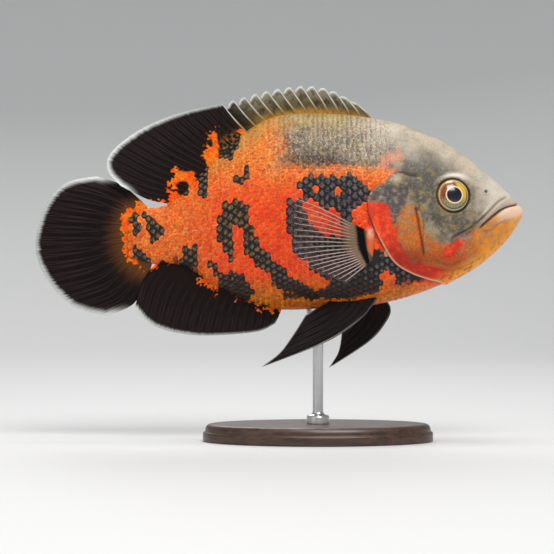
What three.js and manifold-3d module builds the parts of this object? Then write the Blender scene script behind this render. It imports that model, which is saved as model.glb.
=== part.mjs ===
// Oscar fish (Astronotus ocellatus), adult, life size, swimming, held over a display stand by one rod.
// Millimetres, +Z up, nose towards +X, the fish's left side towards +Y.
// The origin is the centre of the underside of the stand's base.
import * as THREE from "three";
import { mergeVertices } from "three/addons/utils/BufferGeometryUtils.js";
import Module from "manifold-3d";

const wasm = await Module();
wasm.setup();

// Driving dimensions
const NOSE_X = 117.5;
const STEM_END_X = -107;
const GAP = 0.35;
const MOUTH_GAP = 0.8;
const EYE = { x: 77.2, z: 140.7, radius: 9.4, depth: 6, sunk: 3.2, rimRadius: 8.8, rimThick: 1.2 };
const BASE = { halfLength: 66, halfWidth: 42, height: 10, chamfer: 1.6 };
const ROD = { radius: 3, collarRadius: 6.5, collarHeight: 5, cradleRadius: 6.5, cradleHeight: 4 };

// The outline and girth of the body from nose to tail: [x, value] pairs
const BACK = [
  [117.5, 131], [116.5, 133.4], [113.9, 136.8], [107.3, 143.7], [92.7, 156.9], [76.5, 168.6],
  [57.5, 178.4], [29, 186], [-4.6, 188.5], [-21.8, 187.2], [-33.3, 183], [-44.8, 175.4],
  [-64.8, 156.6], [-82, 138.9], [-91, 134.8], [-99, 134], [-107, 129],
];
const BELLY = [
  [117.5, 131], [116.5, 127.6], [113.6, 122.6], [107.7, 114.6], [91.2, 99.8], [70, 88.4],
  [47, 80.9], [24, 76.6], [-10, 75], [-24, 75.3], [-39.8, 79.8], [-61.5, 89.8],
  [-73.4, 97.6], [-84, 101.2], [-95, 101], [-107, 105],
];
const HALF_WIDTH = [
  [117.5, 0], [116, 5], [113, 8.2], [107, 11.6], [98, 14.6], [85, 17.6], [70, 20.4], [50, 23.6],
  [30, 24.9], [10, 24.5], [-15, 22.3], [-40, 18.2], [-62, 12.8], [-82, 8], [-97, 5.4], [-107, 3.4],
];
const WIDEST_AT = [
  [117.5, 131], [105, 127.5], [85, 124.5], [60, 124], [30, 128], [0, 131], [-40, 128], [-70, 120.5],
  [-107, 117],
];
const ROUND_ABOVE = [
  [117.5, 2.2], [100, 2.1], [77, 2.1], [50, 1.95], [10, 1.78], [-40, 1.72], [-80, 1.9], [-107, 2.2],
];
const ROUND_BELOW = [
  [117.5, 2.2], [90, 2], [60, 1.9], [20, 1.95], [-10, 1.9], [-50, 1.8], [-107, 2.2],
];

// Lines on the side of the head, as [x, z]
const GILL_LINE = [
  [40, 215], [39, 188], [38.5, 160], [36.7, 147.5], [30.4, 143.3], [27.6, 138], [27.4, 133], [29, 127],
  [34.4, 114.9], [42.3, 102.5], [52, 96.2], [62.4, 92.6], [69, 89.8], [74, 86], [76, 70],
];
const COVER_FRONT = [[33, 147.4], [45, 148.2], [51, 144], [53.7, 132], [56.4, 120], [58.6, 108], [61.6, 99.5], [64.6, 93.6], [66.5, 86]];
const MOUTH_LINE = [[122, 136.6], [113.6, 135.5], [107.1, 134.2], [103.6, 132.2], [99.5, 128.7], [92.4, 123]];
const JAW_HINGE_LINE = [[92.4, 123], [89, 117], [86, 107], [83.5, 96], [82, 82]];
const UPPER_LIP = [[88.6, 123.4], [92.8, 126.7], [96.6, 130.1], [100.6, 133.6], [105.2, 136.4], [109.2, 137.4], [111.2, 137.4]];
const LOWER_LIP = [[93, 120.9], [97, 123.8], [101, 127.2], [106, 129.9], [111, 131.2], [114.7, 131.7]];
const PREOPERCLE_SLIT = [[52.4, 135], [53.7, 131.6], [55.8, 124], [57.2, 116], [58, 108]];
const NOSTRIL = { x: 95.9, z: 143.3, radius: 0.9, depth: 2.4, rim: 0.55 };

const MATERIALS = {
  flank: new THREE.MeshStandardMaterial({ color: 0xd9501f, roughness: 0.45, metalness: 0 }),
  headSkin: new THREE.MeshStandardMaterial({ color: 0x8d8a72, roughness: 0.45, metalness: 0 }),
  jawSkin: new THREE.MeshStandardMaterial({ color: 0xd39a72, roughness: 0.42, metalness: 0 }),
  coverSkin: new THREE.MeshStandardMaterial({ color: 0xb9662f, roughness: 0.42, metalness: 0 }),
  darkFin: new THREE.MeshStandardMaterial({ color: 0x241c1a, roughness: 0.5, metalness: 0 }),
  clearFin: new THREE.MeshStandardMaterial({ color: 0x6b5550, roughness: 0.4, metalness: 0 }),
  eye: new THREE.MeshStandardMaterial({ color: 0xb87a26, roughness: 0.1, metalness: 0 }),
  wood: new THREE.MeshStandardMaterial({ color: 0x3a2418, roughness: 0.4, metalness: 0 }),
  steel: new THREE.MeshStandardMaterial({ color: 0xb9babc, roughness: 0.3, metalness: 1 }),
};

// Natural cubic curve through [t, value] points, t rising
function cubicThrough(points) {
  const n = points.length - 1;
  const step = points.slice(1).map(([t], i) => t - points[i][0]);
  const slope = points.slice(1).map(([, v], i) => (v - points[i][1]) / step[i]);
  const bend = new Array(n + 1).fill(0);
  const upper = new Array(n + 1).fill(0);
  for (let i = 1; i < n; i++) {
    const pivot = 2 * (step[i - 1] + step[i]) - step[i - 1] * upper[i - 1];
    upper[i] = step[i] / pivot;
    bend[i] = (6 * (slope[i] - slope[i - 1]) - step[i - 1] * bend[i - 1]) / pivot;
  }
  for (let i = n - 1; i > 0; i--) bend[i] -= upper[i] * bend[i + 1];
  return (t) => {
    let i = 0;
    while (i < n - 1 && t > points[i + 1][0]) i++;
    const h = step[i];
    const a = (points[i + 1][0] - t) / h;
    const b = 1 - a;
    const bow = ((a ** 3 - a) * bend[i] + (b ** 3 - b) * bend[i + 1]) * h * h;
    return a * points[i][1] + b * points[i + 1][1] + bow / 6;
  };
}

// A measure that runs from nose to tail, smooth round the blunt nose
const fromNose = (x) => Math.sqrt(Math.max(NOSE_X - x, 0));
function course(pairs) {
  const curve = cubicThrough(pairs.map(([x, value]) => [fromNose(x), value]));
  return (x) => curve(fromNose(x));
}
const back = course(BACK);
const belly = course(BELLY);
const halfWidth = course(HALF_WIDTH);
const widestAt = course(WIDEST_AT);
const roundAbove = course(ROUND_ABOVE);
const roundBelow = course(ROUND_BELOW);

// How far the flank stands out from the middle plane at a point of the side view
function flankAt(x, z) {
  const mid = widestAt(x);
  const above = z > mid;
  const share = Math.abs((z - mid) / ((above ? back(x) : belly(x)) - mid));
  const power = above ? roundAbove(x) : roundBelow(x);
  return halfWidth(x) * Math.max(1 - share ** power, 0) ** (1 / power);
}

// Outward direction of the flank on one side, by small steps over the surface
function flankNormal(x, z, side) {
  const d = 0.5;
  const alongX = (flankAt(x + d, z) - flankAt(x - d, z)) / (2 * d);
  const alongZ = (flankAt(x, z + d) - flankAt(x, z - d)) / (2 * d);
  return new THREE.Vector3(-alongX, side, -alongZ).normalize();
}

// Solids and meshes
function solidOf(geometry) {
  const bare = geometry.clone();
  bare.deleteAttribute("normal");
  bare.deleteAttribute("uv");
  const merged = mergeVertices(bare, 1e-4);
  const made = new wasm.Manifold(new wasm.Mesh({
    numProp: 3,
    vertProperties: merged.attributes.position.array,
    triVerts: new Uint32Array(merged.index.array),
  }));
  if (made.volume() > 0) return made;
  const turned = merged.index.array.slice();
  for (let i = 0; i < turned.length; i += 3) [turned[i], turned[i + 1]] = [turned[i + 1], turned[i]];
  return new wasm.Manifold(new wasm.Mesh({
    numProp: 3,
    vertProperties: merged.attributes.position.array,
    triVerts: new Uint32Array(turned),
  }));
}

function geometryFrom(points, faces) {
  return new THREE.BufferGeometry()
    .setAttribute("position", new THREE.Float32BufferAttribute(points.flat(), 3))
    .setIndex(faces.flat());
}

// The pieces of a cut solid, largest first
function piecesOf(solid) {
  return solid.decompose().sort((a, b) => b.volume() - a.volume());
}
const largest = (solid) => piecesOf(solid)[0];

const fish = new THREE.Group();
function addNode(name, solid, material) {
  const { vertProperties, triVerts } = largest(solid).getMesh();
  const geometry = new THREE.BufferGeometry()
    .setAttribute("position", new THREE.BufferAttribute(vertProperties, 3))
    .setIndex(new THREE.BufferAttribute(triVerts, 1));
  const node = new THREE.Mesh(geometry, material);
  node.name = name;
  fish.add(node);
}

// A side-view outline run across the whole width of the fish, or from one side of y = 0
function acrossFish(outline, nearY = -60, farY = 60) {
  const shape = new THREE.Shape(outline.map(([x, z]) => new THREE.Vector2(x, z)));
  const geometry = new THREE.ExtrudeGeometry(shape, { depth: farY - nearY, bevelEnabled: false, curveSegments: 1 });
  geometry.rotateX(Math.PI / 2);
  geometry.translate(0, farY, 0);
  return solidOf(geometry);
}

// A side-view line made smooth, as evenly spaced points
function smoothLine(line, count) {
  return new THREE.SplineCurve(line.map(([x, z]) => new THREE.Vector2(x, z))).getSpacedPoints(count);
}

// A thin cut that follows a side-view line
function cutAlong(line, width, count = 14) {
  const points = smoothLine(line, count);
  const edge = (side) => points.map((p, i) => {
    const next = points[Math.min(i + 1, count)];
    const last = points[Math.max(i - 1, 0)];
    const along = next.clone().sub(last).normalize();
    return [p.x - along.y * side * width / 2, p.y + along.x * side * width / 2];
  });
  return acrossFish([...edge(1), ...edge(-1).reverse()]);
}

// Body
function stations() {
  const list = [0.12, 0.7, 1.8, 3.4, 5.4, 7.8].map((back) => NOSE_X - back);
  const headStep = 3.8;
  const bodyStep = 7;
  while (list.at(-1) > 28) list.push(list.at(-1) - headStep);
  while (list.at(-1) > STEM_END_X + bodyStep) list.push(list.at(-1) - bodyStep);
  list.push(STEM_END_X);
  return list;
}

// The body as one closed skin, moved outwards by grow(x, z) millimetres
function bodySolid(grow) {
  const around = 30;
  const sections = stations();
  const points = [];
  const faces = [];
  const bulge = (value, power) => Math.sign(value) * Math.abs(value) ** (2 / power);
  for (const x of sections) {
    const mid = widestAt(x);
    for (let k = 0; k < around; k++) {
      const turn = (2 * Math.PI * k) / around;
      const rise = Math.cos(turn);
      const power = rise > 0 ? roundAbove(x) : roundBelow(x);
      const height = rise > 0 ? back(x) - mid : mid - belly(x);
      points.push([x, halfWidth(x) * bulge(Math.sin(turn), power), mid + height * bulge(rise, power)]);
    }
  }
  const nose = points.push([NOSE_X, 0, widestAt(NOSE_X)]) - 1;
  const tail = points.push([STEM_END_X, 0, widestAt(STEM_END_X)]) - 1;
  const last = (sections.length - 1) * around;
  for (let k = 0; k < around; k++) {
    const next = (k + 1) % around;
    faces.push([nose, next, k], [tail, last + k, last + next]);
    for (let row = 0; row < last; row += around) {
      const [a, b, c, d] = [row + k, row + next, row + around + k, row + around + next];
      faces.push([a, b, d], [a, d, c]);
    }
  }
  const geometry = geometryFrom(points, faces);
  geometry.computeVertexNormals();
  const place = geometry.attributes.position;
  const normal = geometry.attributes.normal;
  const outward = Math.sign(normal.getX(nose));
  for (let i = 0; i < place.count; i++) {
    const move = outward * grow(place.getX(i), place.getZ(i));
    place.setXYZ(
      i,
      place.getX(i) + move * normal.getX(i),
      place.getY(i) + move * normal.getY(i),
      place.getZ(i) + move * normal.getZ(i),
    );
  }
  return solidOf(geometry);
}

// The body just behind the gill covers lies a little lower than their free edge
function behindGills(x, z) {
  const edge = smoothLine(GILL_LINE, 60);
  const nearest = Math.min(...edge.map((p) => Math.hypot(p.x - x, p.y - z)));
  const height = THREE.MathUtils.smoothstep(z, 84, 100) * (1 - THREE.MathUtils.smoothstep(z, 140, 154));
  return -1.5 * height * Math.exp(-((nearest / 14) ** 2));
}

// A closed tube along 3-D points, with an oval section that changes along it
function tube(path, radiusAt, sides = 8) {
  const points = [];
  const faces = [];
  path.forEach((p, i) => {
    const next = path[Math.min(i + 1, path.length - 1)];
    const last = path[Math.max(i - 1, 0)];
    const along = next.clone().sub(last).normalize();
    const up = new THREE.Vector3(0, 0, 1).addScaledVector(along, -along.z).normalize();
    const out = new THREE.Vector3().crossVectors(along, up);
    for (let k = 0; k < sides; k++) {
      const turn = (2 * Math.PI * k) / sides;
      const radius = radiusAt(i / (path.length - 1));
      const at = p.clone().addScaledVector(up, radius * Math.sin(turn)).addScaledVector(out, radius * Math.cos(turn));
      points.push(at.toArray());
    }
  });
  const last = (path.length - 1) * sides;
  const first = points.push(path[0].toArray()) - 1;
  const end = points.push(path.at(-1).toArray()) - 1;
  for (let k = 0; k < sides; k++) {
    const next = (k + 1) % sides;
    faces.push([first, next, k], [end, last + k, last + next]);
    for (let row = 0; row < last; row += sides) {
      const [a, b, c, d] = [row + k, row + next, row + sides + k, row + sides + next];
      faces.push([a, b, d], [a, d, c]);
    }
  }
  return solidOf(geometryFrom(points, faces));
}

// A side-view line laid on the flank of one side
function onFlank(line, count, side, lift = 0) {
  return smoothLine(line, count).map((p) => new THREE.Vector3(p.x, side * (flankAt(p.x, p.y) + lift), p.y));
}

// A lip runs from one corner of the mouth round the nose to the other
function lip(line, thick) {
  const right = onFlank(line, 11, -1, -thick * 0.45);
  right.at(-1).y = 0;
  const left = right.slice(0, -1).map((p) => new THREE.Vector3(p.x, -p.y, p.z)).reverse();
  return tube([...right, ...left], (t) => thick * (0.62 + 0.38 * Math.sin(Math.PI * t)));
}

// A ring or a ball seated on the head at a point of the side view
function seatOnHead(geometry, x, z, side, sunk) {
  const normal = flankNormal(x, z, side);
  const turned = new THREE.Quaternion().setFromUnitVectors(new THREE.Vector3(0, 0, 1), normal);
  const seat = new THREE.Vector3(x, side * flankAt(x, z), z).addScaledVector(normal, -sunk);
  return solidOf(geometry.clone().applyQuaternion(turned).translate(...seat.toArray()));
}

const eyeBall = (grow) => new THREE.SphereGeometry(1, 22, 12)
  .rotateX(Math.PI / 2)
  .scale(EYE.radius + grow, EYE.radius + grow, EYE.depth + grow);
const eyeRim = () => new THREE.TorusGeometry(EYE.rimRadius, EYE.rimThick, 6, 22);
const nostrilPit = () => new THREE.CylinderGeometry(NOSTRIL.radius, NOSTRIL.radius * 0.5, NOSTRIL.depth, 10).rotateX(Math.PI / 2);
const nostrilRim = () => new THREE.TorusGeometry(NOSTRIL.radius + 0.35, NOSTRIL.rim, 5, 10);

// Fins: a sheet between four side-view edges, with rays as ridges in its own surface
function finSheet({ root, tips, first, last }) {
  const curve = (line) => new THREE.SplineCurve(line.map(([x, z]) => new THREE.Vector2(x, z)));
  const [rootCurve, tipCurve, firstCurve, lastCurve] = [root, tips, first, last].map(curve);
  const corner = (line, end) => new THREE.Vector2(...line.at(end));
  const corners = [corner(root, 0), corner(root, -1), corner(tips, 0), corner(tips, -1)];
  return (u, v) => {
    const across = rootCurve.getPointAt(u).multiplyScalar(1 - v).addScaledVector(tipCurve.getPointAt(u), v);
    const out = firstCurve.getPointAt(v).multiplyScalar(1 - u).addScaledVector(lastCurve.getPointAt(v), u);
    return across.add(out)
      .addScaledVector(corners[0], -(1 - u) * (1 - v))
      .addScaledVector(corners[1], -u * (1 - v))
      .addScaledVector(corners[2], -(1 - u) * v)
      .addScaledVector(corners[3], -u * v);
  };
}

// Columns of a soft fin: a ray's crest, then the middle of the web behind it
function softColumns(rays) {
  return Array.from({ length: 2 * rays - 1 }, (_, k) => ({ u: k / (2 * rays - 2), reach: 1, crest: k % 2 === 0 }));
}

// Columns of a spiny fin: each spine's tip stands clear of the web notched behind it
function spinyColumns(spines, notch) {
  const step = 1 / (spines - 1);
  const columns = [];
  for (let k = 0; k < spines; k++) {
    columns.push({ u: k * step, reach: 1, crest: true });
    if (k === spines - 1) break;
    columns.push({ u: (k + 0.16) * step, reach: 1 - notch, crest: false });
    columns.push({ u: (k + 0.8) * step, reach: 1 - notch * 0.3, crest: false });
  }
  return columns;
}

function finSolid({ edges, columns, rows, rootHalf, webHalf, ridge, lie }) {
  const sheet = finSheet(edges);
  const near = [];
  const far = [];
  for (const { u, reach, crest } of columns) {
    for (let j = 0; j <= rows; j++) {
      const share = j / rows;
      const v = share * (1 - (1 - reach) * share);
      const { x, y: z } = sheet(u, v);
      const taper = Math.max(1 - share, 0);
      const web = webHalf * (1 - 0.3 * share);
      const half = web + (crest ? ridge * (0.15 + 0.85 * taper) : 0) + (rootHalf - web) * taper ** 5;
      const middle = lie(u, v);
      near.push([x, middle - half, z]);
      far.push([x, middle + half, z]);
    }
  }
  return closedSheet(near, far, columns.length, rows + 1);
}

// Two like grids of points joined round their rim into one closed body
function closedSheet(near, far, columns, rows) {
  const count = columns * rows;
  const faces = [];
  for (let i = 0; i < columns - 1; i++) {
    for (let j = 0; j < rows - 1; j++) {
      const [a, b, c, d] = [i * rows + j, i * rows + j + 1, (i + 1) * rows + j, (i + 1) * rows + j + 1];
      faces.push([a, b, d], [a, d, c], [a + count, d + count, b + count], [a + count, c + count, d + count]);
    }
  }
  const rim = [];
  for (let i = 0; i < columns; i++) rim.push(i * rows);
  for (let j = 1; j < rows; j++) rim.push((columns - 1) * rows + j);
  for (let i = columns - 2; i >= 0; i--) rim.push(i * rows + rows - 1);
  for (let j = rows - 2; j > 0; j--) rim.push(j);
  rim.forEach((a, k) => {
    const b = rim[(k + 1) % rim.length];
    faces.push([a, b + count, b].reverse(), [a, a + count, b + count].reverse());
  });
  return solidOf(geometryFrom([...near, ...far], faces));
}

// Build
const plainBody = bodySolid(() => 0);
const bodyRoom = bodySolid(() => GAP);
const trunkBody = bodySolid(behindGills);

const farFront = 150;
const gillEdge = smoothLine(GILL_LINE, 36).map((p) => [p.x, p.y]);
const aheadOfGills = acrossFish([...gillEdge, [farFront, 60], [farFront, 220]]);

const headWithLips = plainBody.add(lip(UPPER_LIP, 2.5)).add(lip(LOWER_LIP, 2.7));
const rims = [-1, 1].map((side) => seatOnHead(eyeRim(), EYE.x, EYE.z, side, 0.3));
const nostrils = [-1, 1].map((side) => seatOnHead(nostrilRim(), NOSTRIL.x, NOSTRIL.z, side, 0.1));
const slits = [-1, 1].map((side) => tube(onFlank(PREOPERCLE_SLIT, 8, side), () => 0.9, 6));
const sockets = [-1, 1].map((side) => seatOnHead(eyeBall(GAP), EYE.x, EYE.z, side, EYE.sunk));
const pits = [-1, 1].map((side) => seatOnHead(nostrilPit(), NOSTRIL.x, NOSTRIL.z, side, 0.5));

// Gill covers are plates let into the sides of the head
const coverDepth = 2.6;
const underCovers = bodySolid(() => -coverDepth).subtract(bodySolid(() => -coverDepth - GAP));
const coverOutline = [...smoothLine(COVER_FRONT, 16).map((p) => [p.x, p.y]), [60, 70], [10, 70], [10, 146]];
const coverCut = acrossFish(coverOutline).intersect(underCovers)
  .add(cutAlong(COVER_FRONT, GAP, 16).subtract(bodySolid(() => -coverDepth - GAP / 2)));

const front = headWithLips.add(wasm.Manifold.union([...rims, ...nostrils]))
  .intersect(aheadOfGills)
  .subtract(wasm.Manifold.union([...slits, ...sockets, ...pits]))
  .subtract(cutAlong(MOUTH_LINE, MOUTH_GAP).add(cutAlong(JAW_HINGE_LINE, GAP)))
  .subtract(coverCut);
const frontPieces = piecesOf(front);
const middleOf = (solid) => {
  const { min, max } = solid.boundingBox();
  return [0, 1, 2].map((i) => (min[i] + max[i]) / 2);
};
const covers = frontPieces.filter((p) => Math.abs(middleOf(p)[1]) > 10).slice(0, 2);
const [headPiece, jawPiece] = frontPieces.filter((p) => Math.abs(middleOf(p)[1]) < 5);
addNode("head", headPiece, MATERIALS.headSkin);
addNode("lower_jaw", jawPiece, MATERIALS.jawSkin);
for (const cover of covers) {
  addNode(middleOf(cover)[1] < 0 ? "gill_cover_right" : "gill_cover_left", cover, MATERIALS.coverSkin);
}
for (const [side, name] of [[-1, "eye_right"], [1, "eye_left"]]) {
  addNode(name, seatOnHead(eyeBall(0), EYE.x, EYE.z, side, EYE.sunk), MATERIALS.eye);
}

const stemCut = cutAlong([[-83, 60], [-85.5, 117], [-83, 190]], GAP, 6);
const [trunk, tailStem] = piecesOf(trunkBody.subtract(aheadOfGills.add(cutAlong(GILL_LINE, GAP, 36))).subtract(stemCut));
addNode("trunk", trunk, MATERIALS.flank);
addNode("tail_stem", tailStem, MATERIALS.flank);

const SPINY_DORSAL = {
  root: [[31, 181], [12, 183], [-8, 184], [-24, 181.5], [-38, 174.5]],
  tips: [[21.9, 193.7], [6.4, 201.6], [-9.4, 203.6], [-30.5, 200.4], [-55, 193.4]],
  first: [[31, 181], [28.7, 187.2], [21.9, 193.7]],
  last: [[-38, 174.5], [-47, 183.5], [-55, 193.4]],
};
const SOFT_DORSAL = {
  root: [[-38 - GAP, 174.5], [-52, 164], [-64, 151], [-74, 140.5], [-80, 135]],
  tips: [[-55 - GAP, 193.4], [-81.2, 187.4], [-103, 177.8], [-118.5, 165], [-120.2, 155], [-113, 146.3]],
  first: [[-38 - GAP, 174.5], [-47 - GAP, 183.5], [-55 - GAP, 193.4]],
  last: [[-80, 135], [-88, 136.4], [-98, 138.8], [-113, 146.3]],
};
const ANAL = {
  root: [[-20, 79], [-38, 84], [-60, 94], [-76, 103], [-86, 106]],
  tips: [[-24.5, 67.5], [-33.5, 63.1], [-50.7, 61], [-68.9, 60.5], [-85.1, 63], [-95.5, 67.4], [-103.8, 75.5]],
  first: [[-20, 79], [-21.8, 73], [-24.5, 67.5]],
  last: [[-86, 106], [-91, 100.2], [-99, 91], [-103.8, 75.5]],
};
const CAUDAL = {
  root: [[-95, 131], [-101, 124], [-102, 117], [-101, 111], [-95, 104]],
  tips: [[-128, 152.2], [-145.5, 147.9], [-157.3, 134], [-162.6, 112], [-156.5, 94], [-141.5, 77.7], [-122, 71.6]],
  first: [[-95, 131], [-102.5, 138.9], [-113.5, 147.4], [-128, 152.2]],
  last: [[-95, 104], [-99.5, 92], [-107, 78.2], [-122, 71.6]],
};
const PECTORAL = {
  root: [[28, 119], [29.5, 111], [28.5, 103.5]],
  tips: [[-15.2, 140.2], [-15.6, 124], [-14.5, 107.5], [-3, 98.4], [15.5, 90.7]],
  first: [[28, 119], [20, 123.5], [2, 133.2], [-15.2, 140.2]],
  last: [[28.5, 103.5], [24, 98], [15.5, 90.7]],
};
const PELVIC_RIGHT = {
  root: [[33, 82], [22, 81.5], [9, 81]],
  tips: [[-32.1, 43.7], [-22, 51.5], [-14.5, 61.5], [-7.5, 72.6]],
  first: [[33, 82], [24.5, 71.5], [12, 62.1], [-1.8, 55.2], [-32.1, 43.7]],
  last: [[9, 81], [1, 77.4], [-7.5, 72.6]],
};
const PELVIC_LEFT = {
  root: [[37, 83], [27, 82], [15, 81]],
  tips: [[6.9, 41], [12.2, 49.5], [14, 58], [14.6, 66]],
  first: [[37, 83], [41.6, 76], [39.6, 68.8], [30, 57], [6.9, 41]],
  last: [[15, 81], [15.2, 73], [14.6, 66]],
};

// Each fin stops just short of the body it grows from
const grown = (fin) => largest(finSolid(fin).subtract(bodyRoom));
addNode("dorsal_fin_spiny", grown({
  edges: SPINY_DORSAL, columns: spinyColumns(13, 0.2), rows: 4, rootHalf: 2.2, webHalf: 0.36, ridge: 0.75, lie: () => 0,
}), MATERIALS.darkFin);
addNode("dorsal_fin_soft", grown({
  edges: SOFT_DORSAL, columns: softColumns(19), rows: 5, rootHalf: 2.8, webHalf: 0.38, ridge: 0.5,
  lie: (u, v) => -4 * u ** 2 * v,
}), MATERIALS.darkFin);
addNode("anal_fin", grown({
  edges: ANAL, columns: softColumns(18), rows: 5, rootHalf: 2.8, webHalf: 0.38, ridge: 0.5,
  lie: (u, v) => -4 * u ** 3 * v,
}), MATERIALS.darkFin);
addNode("tail_fin", grown({
  edges: CAUDAL, columns: softColumns(16), rows: 5, rootHalf: 2.8, webHalf: 0.42, ridge: 0.6,
  lie: (u, v) => 7 * v ** 2,
}), MATERIALS.darkFin);
for (const [side, name] of [[-1, "right"], [1, "left"]]) {
  addNode(`pectoral_fin_${name}`, grown({
    edges: PECTORAL, columns: softColumns(13), rows: 4, rootHalf: 2, webHalf: 0.34, ridge: 0.32,
    lie: (u, v) => side * (20.5 + 17 * v ** 0.7),
  }), MATERIALS.clearFin);
}
addNode("pelvic_fin_right", grown({
  edges: PELVIC_RIGHT, columns: softColumns(6), rows: 6, rootHalf: 1.8, webHalf: 0.4, ridge: 0.7,
  lie: (u, v) => -(8 + 19 * v - 2 * u),
}), MATERIALS.darkFin);
addNode("pelvic_fin_left", grown({
  edges: PELVIC_LEFT, columns: softColumns(6), rows: 6, rootHalf: 1.8, webHalf: 0.4, ridge: 0.7,
  lie: (u, v) => 8 + 17 * v - 2 * u,
}), MATERIALS.darkFin);

// Stand
function baseSolid() {
  const { halfLength, halfWidth: halfDepth, height, chamfer } = BASE;
  const profile = [[0, 0], [halfLength, 0], [halfLength, height - chamfer], [halfLength - chamfer, height], [0, height]];
  const round = new THREE.LatheGeometry(profile.map(([r, z]) => new THREE.Vector2(r, z)), 48);
  return solidOf(round.rotateX(Math.PI / 2).scale(1, halfDepth / halfLength, 1));
}

function rodSolid() {
  const foot = BASE.height + GAP;
  const top = belly(0) + 3;
  const { radius, collarRadius, collarHeight, cradleRadius, cradleHeight } = ROD;
  const profile = [
    [0, foot], [collarRadius, foot], [collarRadius, foot + collarHeight * 0.5], [radius, foot + collarHeight],
    [radius, top - cradleHeight - 5], [cradleRadius, top - cradleHeight], [cradleRadius, top], [0, top],
  ];
  const round = new THREE.LatheGeometry(profile.map(([r, z]) => new THREE.Vector2(r, z)), 20);
  return solidOf(round.rotateX(Math.PI / 2)).subtract(bodyRoom);
}
addNode("stand_base", baseSolid(), MATERIALS.wood);
addNode("stand_rod", rodSolid(), MATERIALS.steel);

export default fish;
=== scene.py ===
"""Oscar fish (Astronotus ocellatus) swimming, as a life-size model on a display stand.

The body is one skin lofted from named outlines, with the mouth, lips, nostrils and gill covers
raised or sunk in it, and a coat of overlapping scales laid over the trunk, with the lateral line
drawn in colour on the scales. Lengths in the classes are millimetres, with the nose towards +X
and the fish's left side towards +Y, and become metres when a mesh is made.
"""

import logging
import math
from dataclasses import dataclass, field
from enum import Enum
from typing import Any, Callable, Sequence

import bpy
import numpy as np
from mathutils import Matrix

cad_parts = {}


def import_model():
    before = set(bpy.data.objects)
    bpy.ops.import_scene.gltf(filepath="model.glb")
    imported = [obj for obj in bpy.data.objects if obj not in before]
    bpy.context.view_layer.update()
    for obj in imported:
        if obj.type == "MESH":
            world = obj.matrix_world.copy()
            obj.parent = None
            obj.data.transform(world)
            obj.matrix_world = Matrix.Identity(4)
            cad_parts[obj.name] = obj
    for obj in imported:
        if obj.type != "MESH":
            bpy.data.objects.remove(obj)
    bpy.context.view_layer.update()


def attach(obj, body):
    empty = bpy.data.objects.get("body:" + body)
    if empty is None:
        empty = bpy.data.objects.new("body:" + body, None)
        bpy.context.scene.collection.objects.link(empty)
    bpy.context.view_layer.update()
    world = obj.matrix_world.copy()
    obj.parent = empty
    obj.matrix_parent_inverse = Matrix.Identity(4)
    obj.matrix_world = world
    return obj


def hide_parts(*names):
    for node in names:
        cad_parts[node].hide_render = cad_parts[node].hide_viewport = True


log = logging.getLogger("oscar")
MM = 0.001
SCALE_MAP = (12.0, 8.0)  # millimetres along and across that a scale's own map spans
Pairs = Sequence[tuple[float, float]]
Colour = tuple[float, float, float]
Array = np.ndarray


class Side(Enum):
    """The two sides of the fish, by the sign of y."""

    RIGHT = -1
    LEFT = 1


# Curves


def smoothstep(value: Array, low: float, high: float) -> Array:
    """Rises smoothly from 0 at low to 1 at high."""
    t = np.clip((value - low) / (high - low), 0.0, 1.0)
    return t * t * (3.0 - 2.0 * t)


def bell(value: Array, centre: float, width: float) -> Array:
    """Rises to 1 at the centre and falls away smoothly on both sides."""
    return np.exp(-(((value - centre) / width) ** 2))


def running_length(steps: Array) -> Array:
    """Adds up the steps along each row, from 0."""
    return np.concatenate([np.zeros((len(steps), 1)), np.cumsum(steps, axis=1)], axis=1)


def smooth_line(points: Pairs, count: int) -> Array:
    """Runs a smooth line through points and spaces it evenly.

    Args:
        points: The points the line passes through.
        count: How many spaces to divide the line into.

    Returns:
        An array of count + 1 points.
    """
    p = np.array(points, float)
    ends = np.vstack([p[:1], p, p[-1:]])
    t = np.linspace(0, 1, 41)[:-1, None]
    parts = []
    for a, b, c, d in zip(ends[:-3], ends[1:-2], ends[2:-1], ends[3:]):
        go, come = (c - a) / 2, (d - b) / 2
        cubic, square = 2 * b - 2 * c + go + come, -3 * b + 3 * c - 2 * go - come
        parts.append(cubic * t**3 + square * t**2 + go * t + b)
    line = np.vstack([*parts, p[-1:]])
    run = np.concatenate([[0], np.cumsum(np.linalg.norm(np.diff(line, axis=0), axis=1))])
    at = np.linspace(0, run[-1], count + 1)
    return np.stack([np.interp(at, run, line[:, k]) for k in range(line.shape[1])], axis=1)


def distance_to_line(x: Array, z: Array, line: Array) -> tuple[Array, Array]:
    """Measures how far points of the side view lie from a line.

    Args:
        x: The points' x.
        z: The points' z.
        line: The line's points, in order.

    Returns:
        The distance, negative to the right of the line's direction, and the share of the line's
        length at which the nearest place lies.
    """
    best = np.full(x.shape, 1e9)
    signed = np.zeros(x.shape)
    place = np.zeros(x.shape)
    for k in range(len(line) - 1):
        ax, az = line[k]
        dx, dz = line[k + 1] - line[k]
        span = dx * dx + dz * dz
        t = np.clip(((x - ax) * dx + (z - az) * dz) / span, 0, 1)
        ex, ez = x - ax - t * dx, z - az - t * dz
        d = np.hypot(ex, ez)
        near = d < best
        best = np.where(near, d, best)
        signed = np.where(near, np.sign(dx * ez - dz * ex), signed)
        place = np.where(near, (k + t) / (len(line) - 1), place)
    return best * np.where(signed == 0, 1, signed), place


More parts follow.
